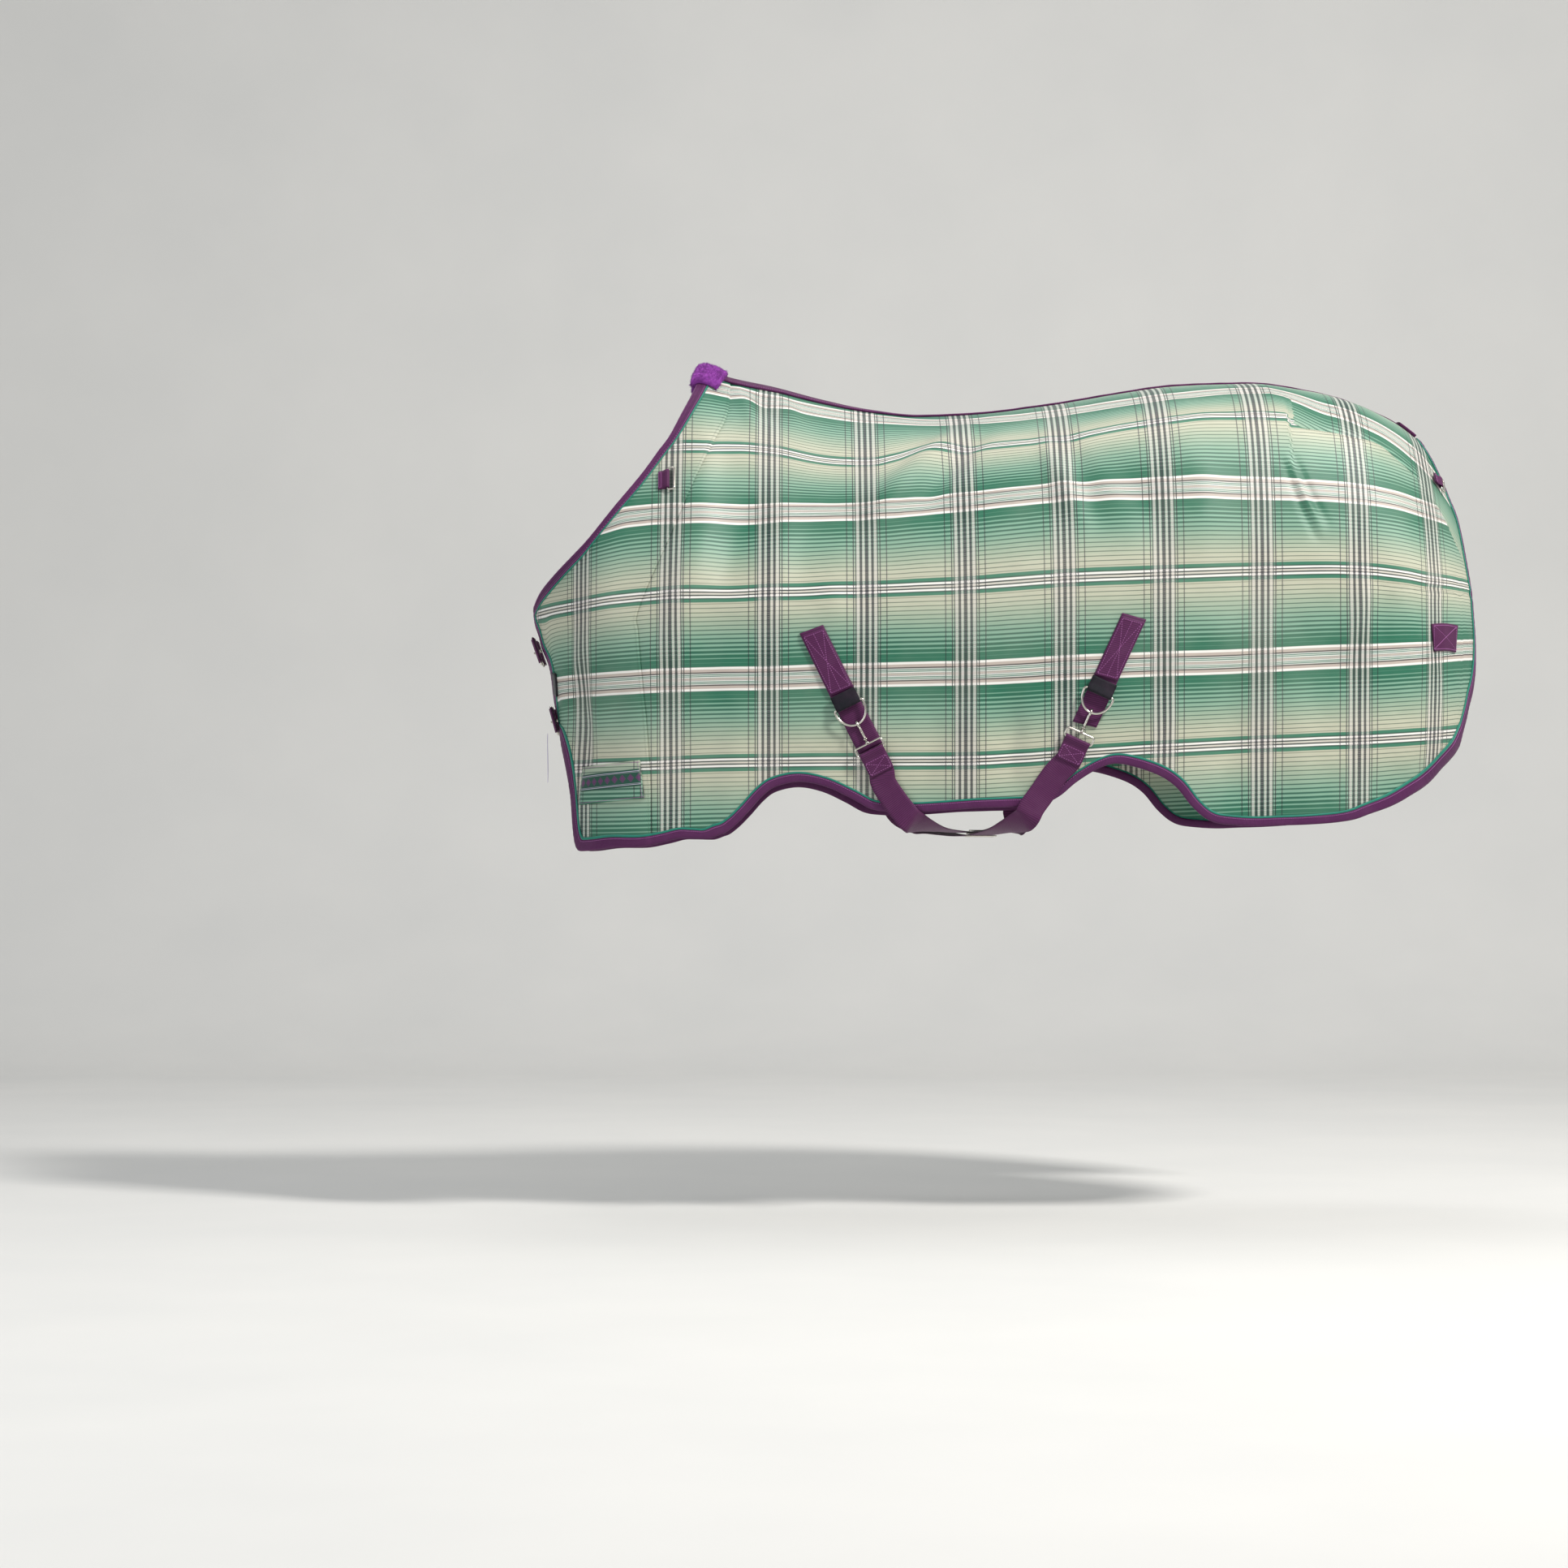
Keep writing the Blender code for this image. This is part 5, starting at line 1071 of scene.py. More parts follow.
a_with, a_dock = neck[0][0], pattern(0.806, 0.0)[0]
laid("spine_strap", 0, [(a_with + 0.010, 0.0), (a_dock + 0.002, 0.0)], 0.050, WEB_OUT + 0.0006, WEB, WEBBING, ["spine_webbing"])
laid("dock_strap", 0, [(a_dock - 0.036, 0.0), (a_dock, 0.0)], 0.110, WEB_OUT + 0.0030, WEB, WEBBING, ["dock_webbing"], step=0.003, across=20)

STITCH = {"purple": [], "dark": []}


def sew_line(side, p0, p1, out, kind="purple", pitch=0.0042, spread=None):
    """Stitches along a straight pattern line."""
    p0, p1 = np.asarray(p0, float), np.asarray(p1, float)
    sew_path(side, np.array([p0, p1]), out, kind, pitch)


def sew_path(side, path, out, kind="purple", pitch=0.0042):
    path = np.asarray(path, float)
    run = np.concatenate([[0], np.cumsum(np.linalg.norm(np.diff(path, axis=0), axis=1))])
    n = max(1, int(run[-1] / pitch))
    at = (np.arange(n) + 0.5) * run[-1] / n
    c = np.stack([np.interp(at, run, path[:, k]) for k in (0, 1)], 1)
    e = np.stack([np.interp(np.minimum(at + 0.001, run[-1]), run, path[:, k]) for k in (0, 1)], 1)
    b = np.stack([np.interp(np.maximum(at - 0.001, 0), run, path[:, k]) for k in (0, 1)], 1)
    s = np.where(c[:, 1] < 0, -1.0, 1.0) if side == 0 else np.full(n, float(side))
    P = put(s, c[:, 0], c[:, 1], out)
    T = put(s, e[:, 0], e[:, 1], out) - put(s, b[:, 0], b[:, 1], out)
    N = norm_of(c[:, 0], np.abs(c[:, 1]))
    N = N * np.stack([np.ones(n), s, np.ones(n)], 1)
    STITCH[kind].append((P, T, N))


def sew_mesh(name, rows, mat, length, radius, body="rug"):
    P, T, N = (np.concatenate([r[k] for r in rows]) for k in range(3))
    T = T / np.maximum(np.linalg.norm(T, axis=1), 1e-9)[:, None]
    N = N - (N * T).sum(1)[:, None] * T
    N /= np.linalg.norm(N, axis=1)[:, None]
    B = np.cross(T, N)
    verts = [P - T * length / 2 - N * radius * 0.8]
    for f, r in ((-0.28, 0.85), (0.28, 0.85)):
        for k in range(5):
            t = 2 * math.pi * (k + 0.25) / 5
            verts.append(P + T * length * f + (B * math.cos(t) + N * math.sin(t)) * radius * r)
    verts.append(P + T * length / 2 - N * radius * 0.8)
    V = np.stack(verts, 1)
    faces = []
    one = [(0, 2, 1), (0, 3, 2), (0, 4, 3), (0, 5, 4), (0, 1, 5)]
    one += [(1 + k, 1 + (k + 1) % 5, 6 + (k + 1) % 5, 6 + k) for k in range(5)]
    one += [(11, 6 + k, 6 + (k + 1) % 5) for k in range(5)]
    m = V.shape[1]
    for i in range(len(P)):
        faces += [tuple(i * m + j for j in f) for f in one]
    ob = mesh_piece(name, V.reshape(-1, 3), faces, mat, body)
    return ob


# rows of stitching along the tapes and the shoulder seam
for side in (-1, 1):
    sew_path(side, offset_path(edge, 0.0122, TURN)[4:-6], 0.0031)
    line = offset_path(neck, 0.0186, TURN)
    sew_path(side, line[14:-3], 0.0032)
    sew_path(side, offset_path(neck, 0.0026, TURN)[14:-3], 0.0032)
    sew_path(side, offset_path(seam_in, 0.0045, 1 if front_outline[:, 0].mean() < seam[:, 0].mean() and offset_path(seam_in, 0.0045, 1)[:, 0].mean() < seam_in[:, 0].mean() else -1)[6:-1], 0.0012, "dark")
    sew_path(side, offset_path(_dart, 0.0035, 1)[1:-1], 0.0008, "dark", 0.005)
    sew_path(side, offset_path(_tuck, 0.0035, 1)[1:-1], 0.0008, "dark", 0.005)
for off in (-0.021, 0.021):
    sew_line(0, (a_with + 0.045, off), (a_dock - 0.040, off), WEB_OUT + 0.0006 + WEB / 2)
for off in (-0.051, 0.051):
    sew_line(0, (a_dock - 0.032, off), (a_dock - 0.004, off), WEB_OUT + 0.0030 + WEB / 2)
sew_line(0, (a_dock - 0.032, -0.051), (a_dock - 0.032, 0.051), WEB_OUT + 0.0030 + WEB / 2)
sew_line(0, (a_dock - 0.004, -0.051), (a_dock - 0.004, 0.051), WEB_OUT + 0.0030 + WEB / 2)


def sewn_box(side, p0, p1, width, out, cross=True, centre=False, square=False):
    """Stitching round a patch between two pattern places, with a cross in it."""
    p0, p1 = np.asarray(p0, float), np.asarray(p1, float)
    d = (p1 - p0) / np.linalg.norm(p1 - p0)
    s = np.array([-d[1], d[0]]) * width / 2
    if square:
        s = square_to(side, (p0 + p1) / 2, d) * width / 2
    c = [p0 - s, p1 - s, p1 + s, p0 + s]
    for k in range(4):
        sew_line(side, c[k], c[(k + 1) % 4], out)
    if cross:
        sew_line(side, c[0], c[2], out)
        sew_line(side, c[1], c[3], out)
    if centre:
        sew_line(side, p0, p1, out)


# ---------------------------------------------------------------- folded straps in their rings' frames
def ribbon(name, points, width_dirs, width, thick, mat, body="rug", replaces=(), matrix=None, across=6, curl=0.0, ripple=0.0):
    """Strap of rounded section along 3D points."""
    p = [Vector(q) for q in points]
    run = [0.0]
    rows, uvs = [], []
    for k in range(1, len(p)):
        run.append(run[-1] + (p[k] - p[k - 1]).length)
    half, ht = width / 2, thick / 2
    xs = np.linspace(-half + 0.0004, half - 0.0004, across + 1)
    prof = [(-half, -0.2 * ht), (-half, 0.2 * ht)] + [(x, ht) for x in xs] + [(half, 0.2 * ht), (half, -0.2 * ht)] + [(x, -ht) for x in xs[::-1]]
    for k, q in enumerate(p):
        t = (p[min(k + 1, len(p) - 1)] - p[max(k - 1, 0)]).normalized()
        w = Vector(width_dirs[k])
        w = (w - t * w.dot(t)).normalized()
        n = t.cross(w).normalized()
        lift = ripple * math.sin(run[k] * 2 * math.pi / 0.052)
        for x, y in prof:
            e = (x / half) ** 2
            rows.append(q + w * x + n * (y + lift * e + curl * e))
            uvs.append((run[k], x))
    return mesh_piece(name, rows, tube_faces(len(p), len(prof), closed_ring=True, caps=True), mat, body, uv=uvs, replaces=replaces, matrix=matrix, orient="recalc")


def tab_path(length, bar, thick=WEB, upper=None, pinch=0.013):
    r = bar + 0.0004 + thick / 2
    upper = length - 0.002 if upper is None else upper
    low = -r + thick + 0.0003
    path = [(-length * f, -r) for f in np.linspace(1, 0.04, 9)]
    path += arc(0, 0, r, -90, 90, 17)
    for f in np.linspace(0.08, 1, 10):
        y = -pinch * f
        e = 3 * f**2 - 2 * f**3
        path.append((y, r * (1 - e) + low * e))
    path += [(-pinch - (upper - pinch) * f, low) for f in np.linspace(0.12, 1, 8)]
    return path


def tab(name, matrix, width, length, bar, mat, replaces, thick=WEB, pinch=0.013):
    path = tab_path(length, bar, thick, pinch=pinch)
    return ribbon(name, [(0, y, z) for y, z in path], [(1, 0, 0)] * len(path), width, thick, mat, replaces=replaces, matrix=matrix)


def sew_local(matrix, segments, kind="purple", pitch=0.0042):
    """Stitches between points of a fitting's own frame, in its XY plane."""
    up = (matrix.to_3x3() @ Vector((0, 0, 1))).normalized()
    for p0, p1 in segments:
        p0, p1 = Vector(p0), Vector(p1)
        n = max(1, int((p1 - p0).length / pitch))
        P = [matrix @ (p0 + (p1 - p0) * ((k + 0.5) / n)) for k in range(n)]
        t = (matrix.to_3x3() @ (p1 - p0)).normalized()
        STITCH[kind].append((np.array(P), np.array([t] * n), np.array([up] * n)))


def box_segments(half, y0, y1, z, cross=True):
    c = [(-half, y0, z), (half, y0, z), (half, y1, z), (-half, y1, z)]
    seg = [(c[k], c[(k + 1) % 4]) for k in range(4)]
    return seg + ([(c[0], c[2]), (c[1], c[3])] if cross else [])


def rect_ring_points(half, depth, corner=0.004, n=8):
    pts = []
    for cx, cy, s in ((half - corner, corner, -90), (half - corner, depth - corner, 0),
                      (-half + corner, depth - corner, 90), (-half + corner, corner, 180)):
        pts += arc(cx, cy, corner, s, s + 90, n)
    return [(x, y, 0.0) for x, y in pts]


def d_ring_points(half, depth, corner=0.004):
    pts = arc(half - corner, corner, corner, -90, -10, 7)
    low = corner + 0.001
    for t in np.linspace(0, 180, 41):
        pts.append((half * math.cos(math.radians(t)), low + (depth - low) * math.sin(math.radians(t))))
    pts += arc(-half + corner, corner, corner, 190, 270, 7)
    return [(x, y, 0.0) for x, y in pts]


for side, word in ((-1, "left"), (1, "right")):
    m = frame_at(side, pattern(-0.6300, -0.1500), np.array([0.82, 0.57]), LOW + 0.0018 + 0.0005 + WEB)
    tab(f"{word}_neck_loop", m, 0.040, 0.019, 0.0018, TABBING, [f"{word}_neck_tab"], pinch=0.011)
    sew_local(m, box_segments(0.0170, -0.0125, -0.0172, -0.0018 - 0.0005 + WEB + 0.0004, False))
    wire(f"{word}_neck_loop_ring", [(rect_ring_points(0.0242, 0.013), 0.0018, True)], m, NICKEL, f"{word}_neck_ring", [f"{word}_neck_ring"])
    m = frame_at(side, pattern(0.8380, -0.150), np.array([0.85, -0.53]), LOW + 0.0018 + 0.0005 + WEB + 0.0016)
    tab(f"{word}_tail_loop", m, 0.026, 0.020, 0.0018, TABBING, [f"{word}_tail_tab"], pinch=0.011)
    sew_local(m, box_segments(0.0100, -0.0125, -0.0180, -0.0018 - 0.0005 + WEB + 0.0004, False))
    wire(f"{word}_tail_loop_ring", [(rect_ring_points(0.0172, 0.013), 0.0018, True)], m, NICKEL, f"{word}_tail_ring", [f"{word}_tail_ring"])
    laid(f"{word}_leg_patch", side, [pattern(0.801, -0.452), pattern(0.853, -0.452)], 0.052, WEB_OUT, WEB, TABBING, [f"{word}_leg_strap_patch"], square=True)
    p0, p1 = np.array(pattern(0.801, -0.452)), np.array(pattern(0.853, -0.452))
    d = (p1 - p0) / np.linalg.norm(p1 - p0)
    sewn_box(side, p0 + d * 0.004, p1 - d * 0.004, 0.044, WEB_OUT + WEB / 2, square=True)
    m = frame_at(side, pattern(0.815, -0.452), np.array([0.0, 1.0]), LOW + 0.0020 + 0.0005 + WEB + 0.0030, inward=True)
    tab(f"{word}_leg_loop", m, 0.048, 0.032, 0.0020, TABBING, [f"{word}_leg_strap_tab"])
    wire(f"{word}_leg_loop_ring", [(d_ring_points(0.0280, 0.030), 0.0020, True)], m, NICKEL, f"{word}_leg_strap_ring", [f"{word}_leg_strap_ring"])

def side_line(p0, p1, n=9):
    """Pattern places along a line that is straight in side view."""
    return np.array([pattern(p0[0] + (p1[0] - p0[0]) * t, p0[1] + (p1[1] - p0[1]) * t) for t in np.linspace(0, 1, n)])


backing = side_line((-0.794, -0.728), (-0.676, -0.7165))
laid("label_backing_cloth", -1, backing, 0.072, CLOTH / 2 + 0.0026, 0.0010, PLAID,
     ["front_label_backing"], square=True, uv_fn=lambda a, v: plaid_uv(a, v) + np.array([0.031, 0.052]))
laid("label_ribbon", -1, side_line((-0.791, -0.7235), (-0.679, -0.7125)), 0.032, CLOTH / 2 + 0.0044, 0.0010, LABEL, ["front_label"], square=True)
steps = np.gradient(backing, axis=0)
cross = np.array([square_to(-1, c, d / np.linalg.norm(d)) for c, d in zip(backing, steps)])
for off in (-0.033, 0.033):
    sew_path(-1, backing[:] + cross * off, CLOTH / 2 + 0.0031)
for k in (0, -1):
    c = backing[k] + (backing[1] - backing[0]) * (0.2 if k == 0 else -0.2)
    sew_line(-1, c - cross[k] * 0.033, c + cross[k] * 0.033, CLOTH / 2 + 0.0031)

# ---------------------------------------------------------------- snap hooks
def snap(prefix, matrix, half, eye, length, body, gate_body, r=0.0023):
    top = eye + length - r
    hook = [(eye, 0.0), (eye + 0.005, 0.0), (eye + 0.008, -0.0014), (eye + 0.011, -0.0044), (eye + 0.014, -0.0057), (top - 0.0080, -0.0057),
            (top - 0.0044, -0.0047), (top - 0.0018, -0.0021), (top - 0.0010, 0.0010), (top - 0.0020, 0.0040), (top - 0.0046, 0.0062),
            (top - 0.0080, 0.0070), (top - 0.0125, 0.0070)]
    hook = curve_through(hook, 0.0012)
    run = np.linspace(0, 1, len(hook))
    radius = r * (1.0 + 0.10 * np.exp(-((run - 0.10) / 0.08) ** 2) - 0.10 * np.clip((run - 0.86) / 0.14, 0, 1))
    stem = [(0, eye - 0.0008, 0), (0, eye + 0.0010, 0), (0, eye + 0.0012, 0), (0, eye + 0.0034, 0), (0, eye + 0.0036, 0), (0, eye + 0.0118, -0.0006), (0, eye + 0.0120, -0.0007)]
    stem_r = [0.0026, 0.0030, 0.0036, 0.0036, 0.0027, 0.0030, 0.0016]
    pin = [(-0.0033, eye + 0.0100, 0.0012), (-0.0030, eye + 0.0100, 0.0012), (0.0030, eye + 0.0100, 0.0012), (0.0033, eye + 0.0100, 0.0012)]
    ob = wire(prefix + "_hook_body", [(rect_ring_points(half, eye), 0.0020, True), ([(0, y, z) for y, z in hook], radius, False),
                                      (stem, stem_r, False), (pin, [0.0008, 0.0014, 0.0014, 0.0008], False)], matrix, NICKEL, body, [prefix + "_snap"])
    pivot = Vector((0, eye + 0.0125, 0.0034))
    m = matrix @ Matrix.Translation(pivot)
    reach = (top - 0.0125 - (0.0004 if length > 0.045 else 0.0012)) - pivot[1]
    rise = 0.0070 - pivot[2]
    gate = curve_through([(0.0, 0.0), (0.003, rise * 0.6), (reach * 0.6, rise), (reach - 0.0002, rise)], 0.0012)
    g = len(gate)
    gate_r = 0.0013 * (1 + 0.16 * np.exp(-((np.linspace(0, 1, g) - 0.45) / 0.12) ** 2))
    stud = [(0, float(gate[g // 2][0]), rise), (0, float(gate[g // 2][0]), rise + 0.0012), (0, float(gate[g // 2][0]), rise + 0.0018)]
    wire(prefix + "_gate_bar", [([(0, y, z) for y, z in gate], gate_r, False), (stud, [0.0012, 0.0017, 0.0012], False)], m, NICKEL,
         gate_body, [prefix + "_gate"])
    return ob


def chest_frame(x, z, lean, y, height):
    ex = Vector((-lean, 0, 1)).normalized()
    ey = Vector((0, 1, 0))
    ez = ex.cross(ey)
    m = Matrix((ex, ey, ez)).transposed().to_4x4()
    m.translation = Vector((x, -y, z)) + ez * height
    return m


SPAN, CHEST_RING, CHEST_EYE = 0.066, 0.024, 0.014
for word, x, z, lean in (("upper", -0.8800, -0.461, 0.35), ("lower", -0.8465, -0.596, 0.27)):
    m = chest_frame(x, z, lean, SPAN / 2, 0.0092)
    tab(f"chest_{word}_left_loop", m, 0.048, 0.046, 0.0020, TABBING, [f"chest_{word}_left_tab"])
    snap(f"chest_{word}", m, 0.0270, CHEST_EYE, SPAN - CHEST_RING + 0.00865 - CHEST_EYE, f"chest_{word}_snap", f"chest_{word}_gate")
    m2 = m @ Matrix.Translation((0, SPAN, 0)) @ Matrix.Rotation(math.pi, 4, "Z")
    tab(f"chest_{word}_right_loop", m2, 0.048, 0.046, 0.0020, TABBING, [f"chest_{word}_right_tab"])
    wire(f"chest_{word}_d", [(d_ring_points(0.0280, CHEST_RING), 0.0020, True)], m2, NICKEL, f"chest_{word}_ring", [f"chest_{word}_ring"])
    top_z = -0.0020 - 0.0005 - WEB / 2 + WEB + 0.0003 + WEB / 2
    for f in (m, m2):
        sew_local(f, box_segments(0.0205, -0.0175, -0.0405, top_z))
laid("chest_care_tag", -1, [pattern(-0.8500, -0.510), pattern(-0.8460, -0.552)], 0.020, CLOTH / 2 + 0.0036, 0.0010, TAGCLOTH, ["chest_tag"], square=True)

# ---------------------------------------------------------------- surcingles
HOOK_RUN, D_DEPTH, EYE = 0.097, 0.040, 0.016
SURCINGLES = {"front": ((-0.360, -0.438), (-0.2906, -0.5793), (-0.241, -0.6515)),
              "rear": ((0.238, -0.416), (0.1726, -0.558), (0.1300, -0.650))}
CROSS_X = -0.056
snaps = {}
for word, (top, bar, end) in SURCINGLES.items():
    p_top, p_bar = np.array(pattern(*top)), np.array(pattern(*bar))
    d = (p_bar - p_top) / np.linalg.norm(p_bar - p_top)
    run = 0.240 if word == "front" else 0.200
    laid(f"{word}_surcingle_strap", -1, [p_top, p_top + d * run], WIDE, WEB_OUT, WEB, WEBBING, [f"{word}_surcingle_tab"])
    laid(f"{word}_surcingle_top_ply", -1, [p_top + d * 0.005, p_bar - d * 0.027], 0.048, WEB_OUT + WEB + 0.0003, WEB, WEBBING, [f"{word}_surcingle_overlay"])
    over = WEB_OUT + WEB + 0.0003 + WEB / 2
    sewn_box(-1, p_top + d * 0.009, p_bar - d * 0.032, 0.040, over, cross=True, centre=True)
    m = frame_at(-1, p_bar, d, BAR_HEIGHT)
    tab(f"{word}_surcingle_elastic_loop", m, 0.049, 0.026, 0.00225, ELASTIC, [f"{word}_surcingle_elastic"], pinch=0.014)
    wire(f"{word}_surcingle_d", [(d_ring_points(0.0290, D_DEPTH), 0.00225, True)], m, NICKEL, f"{word}_surcingle_ring", [f"{word}_surcingle_ring"])
    m2 = m @ Matrix.Translation((0, HOOK_RUN, 0)) @ Matrix.Rotation(math.pi, 4, "Z")
    snap(f"{word}_surcingle", m2, 0.0270, EYE, HOOK_RUN - D_DEPTH + 0.00865 - EYE, f"{word}_surcingle_snap", f"{word}_surcingle_gate")
    snaps[word] = m2

FREE = {"front": [(-0.1745, -0.3025, -0.7950), (-0.154, -0.256, -0.8045), (-0.126, -0.187, -0.8105),
                  (-0.092, -0.095, -0.8130), (CROSS_X, 0.0, -0.8145)],
        "rear": [(0.0365, -0.3135, -0.7910), (0.016, -0.263, -0.8045), (-0.008, -0.193, -0.8135),
                 (-0.032, -0.095, -0.8190), (CROSS_X, 0.0, -0.8215)]}
SIDE_RUN = {"front": [(-0.2255, -0.7240, 0.0078), (-0.2065, -0.7540, 0.0085), (-0.1885, -0.7770, 0.0128)],
            "rear": [(0.0915, -0.7080, 0.0080), (0.0680, -0.7420, 0.0085), (0.0490, -0.7680, 0.0128)]}
ANCHOR = {"front": [(0.058, -0.768), (0.072, -0.744), (0.094, -0.708), (0.128, -0.644), (0.166, -0.570)],
          "rear": [(-0.174, -0.777), (-0.190, -0.756), (-0.212, -0.722), (-0.252, -0.656), (-0.292, -0.584)]}
for word in ("front", "rear"):
    m = snaps[word]
    out = (m.to_3x3() @ Vector((0, 0, 1))).normalized()
    r = 0.0020 + 0.0005 + WEB / 2
    pairs = [(m @ Vector((0, -0.016, -r)), out), (m @ Vector((0, -0.040, -r)), out)]
    for x, z, h in SIDE_RUN[word]:
        a, v = pattern(x, z)
        n = normal(a, v)
        pairs.append((place(-1, a, v, h), Vector((n[0], -n[1], n[2]))))
    for x, y, z in FREE[word]:
        t = min(1.0, abs(y) / 0.30)
        pairs.append((Vector((x, y, z)), Vector((0, -t**3, -(1 - t**3))).normalized()))
    for x, y, z in FREE[word][-2::-1]:
        t = min(1.0, abs(y) / 0.30)
        pairs.append((Vector((2 * CROSS_X - x, -y, z)), Vector((0, t**3, -(1 - t**3))).normalized()))
    for k, (x, z) in enumerate(ANCHOR[word]):
        a, v = pattern(x, z)
        n = normal(a, v)
        pairs.append((place(1, a, v, (0.0125, 0.0088, 0.0064, 0.0040, 0.0036)[k]), Vector((n[0], n[1], n[2]))))
    six = curve_through([(*p, *(n * 0.05)) for p, n in pairs], 0.007)
    low = -r + WEB + 0.00030
    fold = [(-0.044 + 0.031 * f, low) for f in np.linspace(0, 1, 6)]
    for f in np.linspace(0.12, 1, 8):
        e = 3 * f**2 - 2 * f**3
        fold.append((-0.013 * (1 - f), low * (1 - e) + r * e))
    fold += arc(0, 0, r, 84, -84, 13) + [(-0.004, -r), (-0.010, -r)]
    bar = (m.to_3x3() @ Vector((1, 0, 0))).normalized()
    points = [m @ Vector((0, y, z)) for y, z in fold]
    widths = [bar] * len(points)
    route = [Vector(q[:3]) for q in six]
    last = None
    for k, q in enumerate(route):
        t = route[min(k + 1, len(route) - 1)] - route[max(k - 1, 0)]
        w = Vector(six[k][3:]).cross(t).normalized()
        if w.dot(bar if last is None else last) < 0:
            w = -w
        last = w
        points.append(q)
        widths.append(w)
    ribbon(f"{word}_belly_webbing", points, widths, 0.048, WEB, WEBBING, replaces=[f"{word}_belly_strap"], across=8)
    sew_local(m, box_segments(0.0205, -0.0165, -0.0400, low + WEB / 2 + 0.0001))
    # slide threaded on the strap
    coarse = curve_through([(*p, *(n * 0.05)) for p, n in pairs], 0.028)
    cr, cn = [Vector(q[:3]) for q in coarse], [Vector(q[3:]).normalized() for q in coarse]
    y = 0.095 if word == "front" else -0.095
    k = int(np.argmin([abs(q.y - y) for q in cr]))
    t = (cr[k + 1] - cr[k - 1]).normalized()
    n = (cn[k] - t * cn[k].dot(t)).normalized()
    ms = Matrix((t.cross(n), t, n)).transposed().to_4x4()
    ms.translation = cr[k]
    gap = WEB / 2 + 0.0009
    z = gap + 0.0011
    bars = []
    for yy in (-0.0110, 0.0110):
        bars.append(([(-0.0285, yy, z), (-0.0270, yy, z), (0.0270, yy, z), (0.0285, yy, z)], 0.00125, False))
    loop = [(x, yy, z) for x, yy in [(0.0282 - 0.003 + 0.003 * math.cos(math.radians(a)), 0.0118 - 0.003 + 0.003 * math.sin(math.radians(a))) for a in range(0, 91, 15)]
            + [(-0.0282 + 0.003 + 0.003 * math.cos(math.radians(a)), 0.0118 - 0.003 + 0.003 * math.sin(math.radians(a))) for a in range(90, 181, 15)]
            + [(-0.0282 + 0.003 + 0.003 * math.cos(math.radians(a)), -0.0118 + 0.003 + 0.003 * math.sin(math.radians(a))) for a in range(180, 271, 15)]
            + [(0.0282 - 0.003 + 0.003 * math.cos(math.radians(a)), -0.0118 + 0.003 + 0.003 * math.sin(math.radians(a))) for a in range(270, 361, 15)]]
    centre = [(-0.0275, 0, z - 0.0003), (-0.0275, 0, -gap - 0.0002), (-0.0268, 0, -gap - 0.0009), (0.0268, 0, -gap - 0.0009), (0.0275, 0, -gap - 0.0002), (0.0275, 0, z - 0.0003)]
    wire(f"{word}_slide_frame", [(loop, 0.00135, True), (centre, 0.00110, False)], ms, NICKEL, f"{word}_strap_slider", [f"{word}_strap_slider"])

# ---------------------------------------------------------------- fleece pad over the withers
pad_len = 0.0125 * 5 + 0.004
PADSHAPE = [(-0.010, -0.0100), (0.008, -0.0104), (0.026, -0.0100), (0.0285, -0.0082), (0.026, -0.0066), (0.010, -0.0064), (-0.0015, -0.0060), (-0.0025, 0.0),
            (-0.0015, 0.0054), (0.010, 0.0056), (0.026, 0.0058), (0.0385, 0.0056), (0.0400, 0.0085), (0.0375, 0.0128), (0.015, 0.0138), (-0.006, 0.0132), (-0.0100, 0.0100),
            (-0.0112, 0.0), (-0.0108, -0.0070)]
loop = np.array(PADSHAPE + PADSHAPE[:1])
run = np.concatenate([[0], np.cumsum(np.linalg.norm(np.diff(loop, axis=0), axis=1))])
ncirc = 84
at = np.linspace(0, run[-1], ncirc, endpoint=False)
prof = np.stack([np.interp(at, run, loop[:, c]) for c in (0, 1)], 1)
pad_line = curve_through(neck[:int(pad_len / 0.005) + 1], 0.0016)
rings = []
for side in (-1, 1):
    t = np.gradient(pad_line, axis=0)
    t /= np.linalg.norm(t, axis=1)[:, None]
    inward = np.stack([-t[:, 1], t[:, 0]], 1) * TURN
    ease = np.clip(np.linspace(0, pad_len, len(pad_line)) / 0.020, 0, 1)[:, None]
    inward = inward * ease + np.array([1.0, 0.0]) * (1 - ease)
    inward /= np.linalg.norm(inward, axis=1)[:, None]
    q = pad_line[:, None, :] + inward[:, None, :] * prof[None, :, 0:1]
    end = np.sqrt(np.clip(1 - (np.linspace(0, 1, len(pad_line)) ** 14), 0, 1))
    mid = prof.mean(0)
    h = (prof[None, :, 1] - 0.0015) * (0.30 + 0.70 * end[:, None]) + 0.0015
    verts = put(np.full(q.shape[:2], float(side)), q[..., 0], np.maximum(q[..., 1], 0.0), h, 0.0)
    rings.append(verts)
rings = np.concatenate([rings[0][::-1], rings[1][1:]])
nrow = len(rings)
du = np.gradient(rings, axis=0)
dv = np.roll(rings, -1, 1) - np.roll(rings, 1, 1)
nn = np.cross(du, dv)
nn /= np.maximum(np.linalg.norm(nn, axis=2), 1e-9)[..., None]
centre = rings.mean(1, keepdims=True)
if ((rings - centre) * nn).sum() < 0:
    nn = -nn
flat_p = rings.reshape(-1, 3)
lump = np.array([noise.noise(Vector(p) * 90.0) * 0.0012 + abs(noise.noise(Vector(p) * 330.0)) * 0.0016 + noise.noise(Vector(p) * 800.0) * 0.0005 for p in flat_p])
flat_n = nn.reshape(-1, 3)
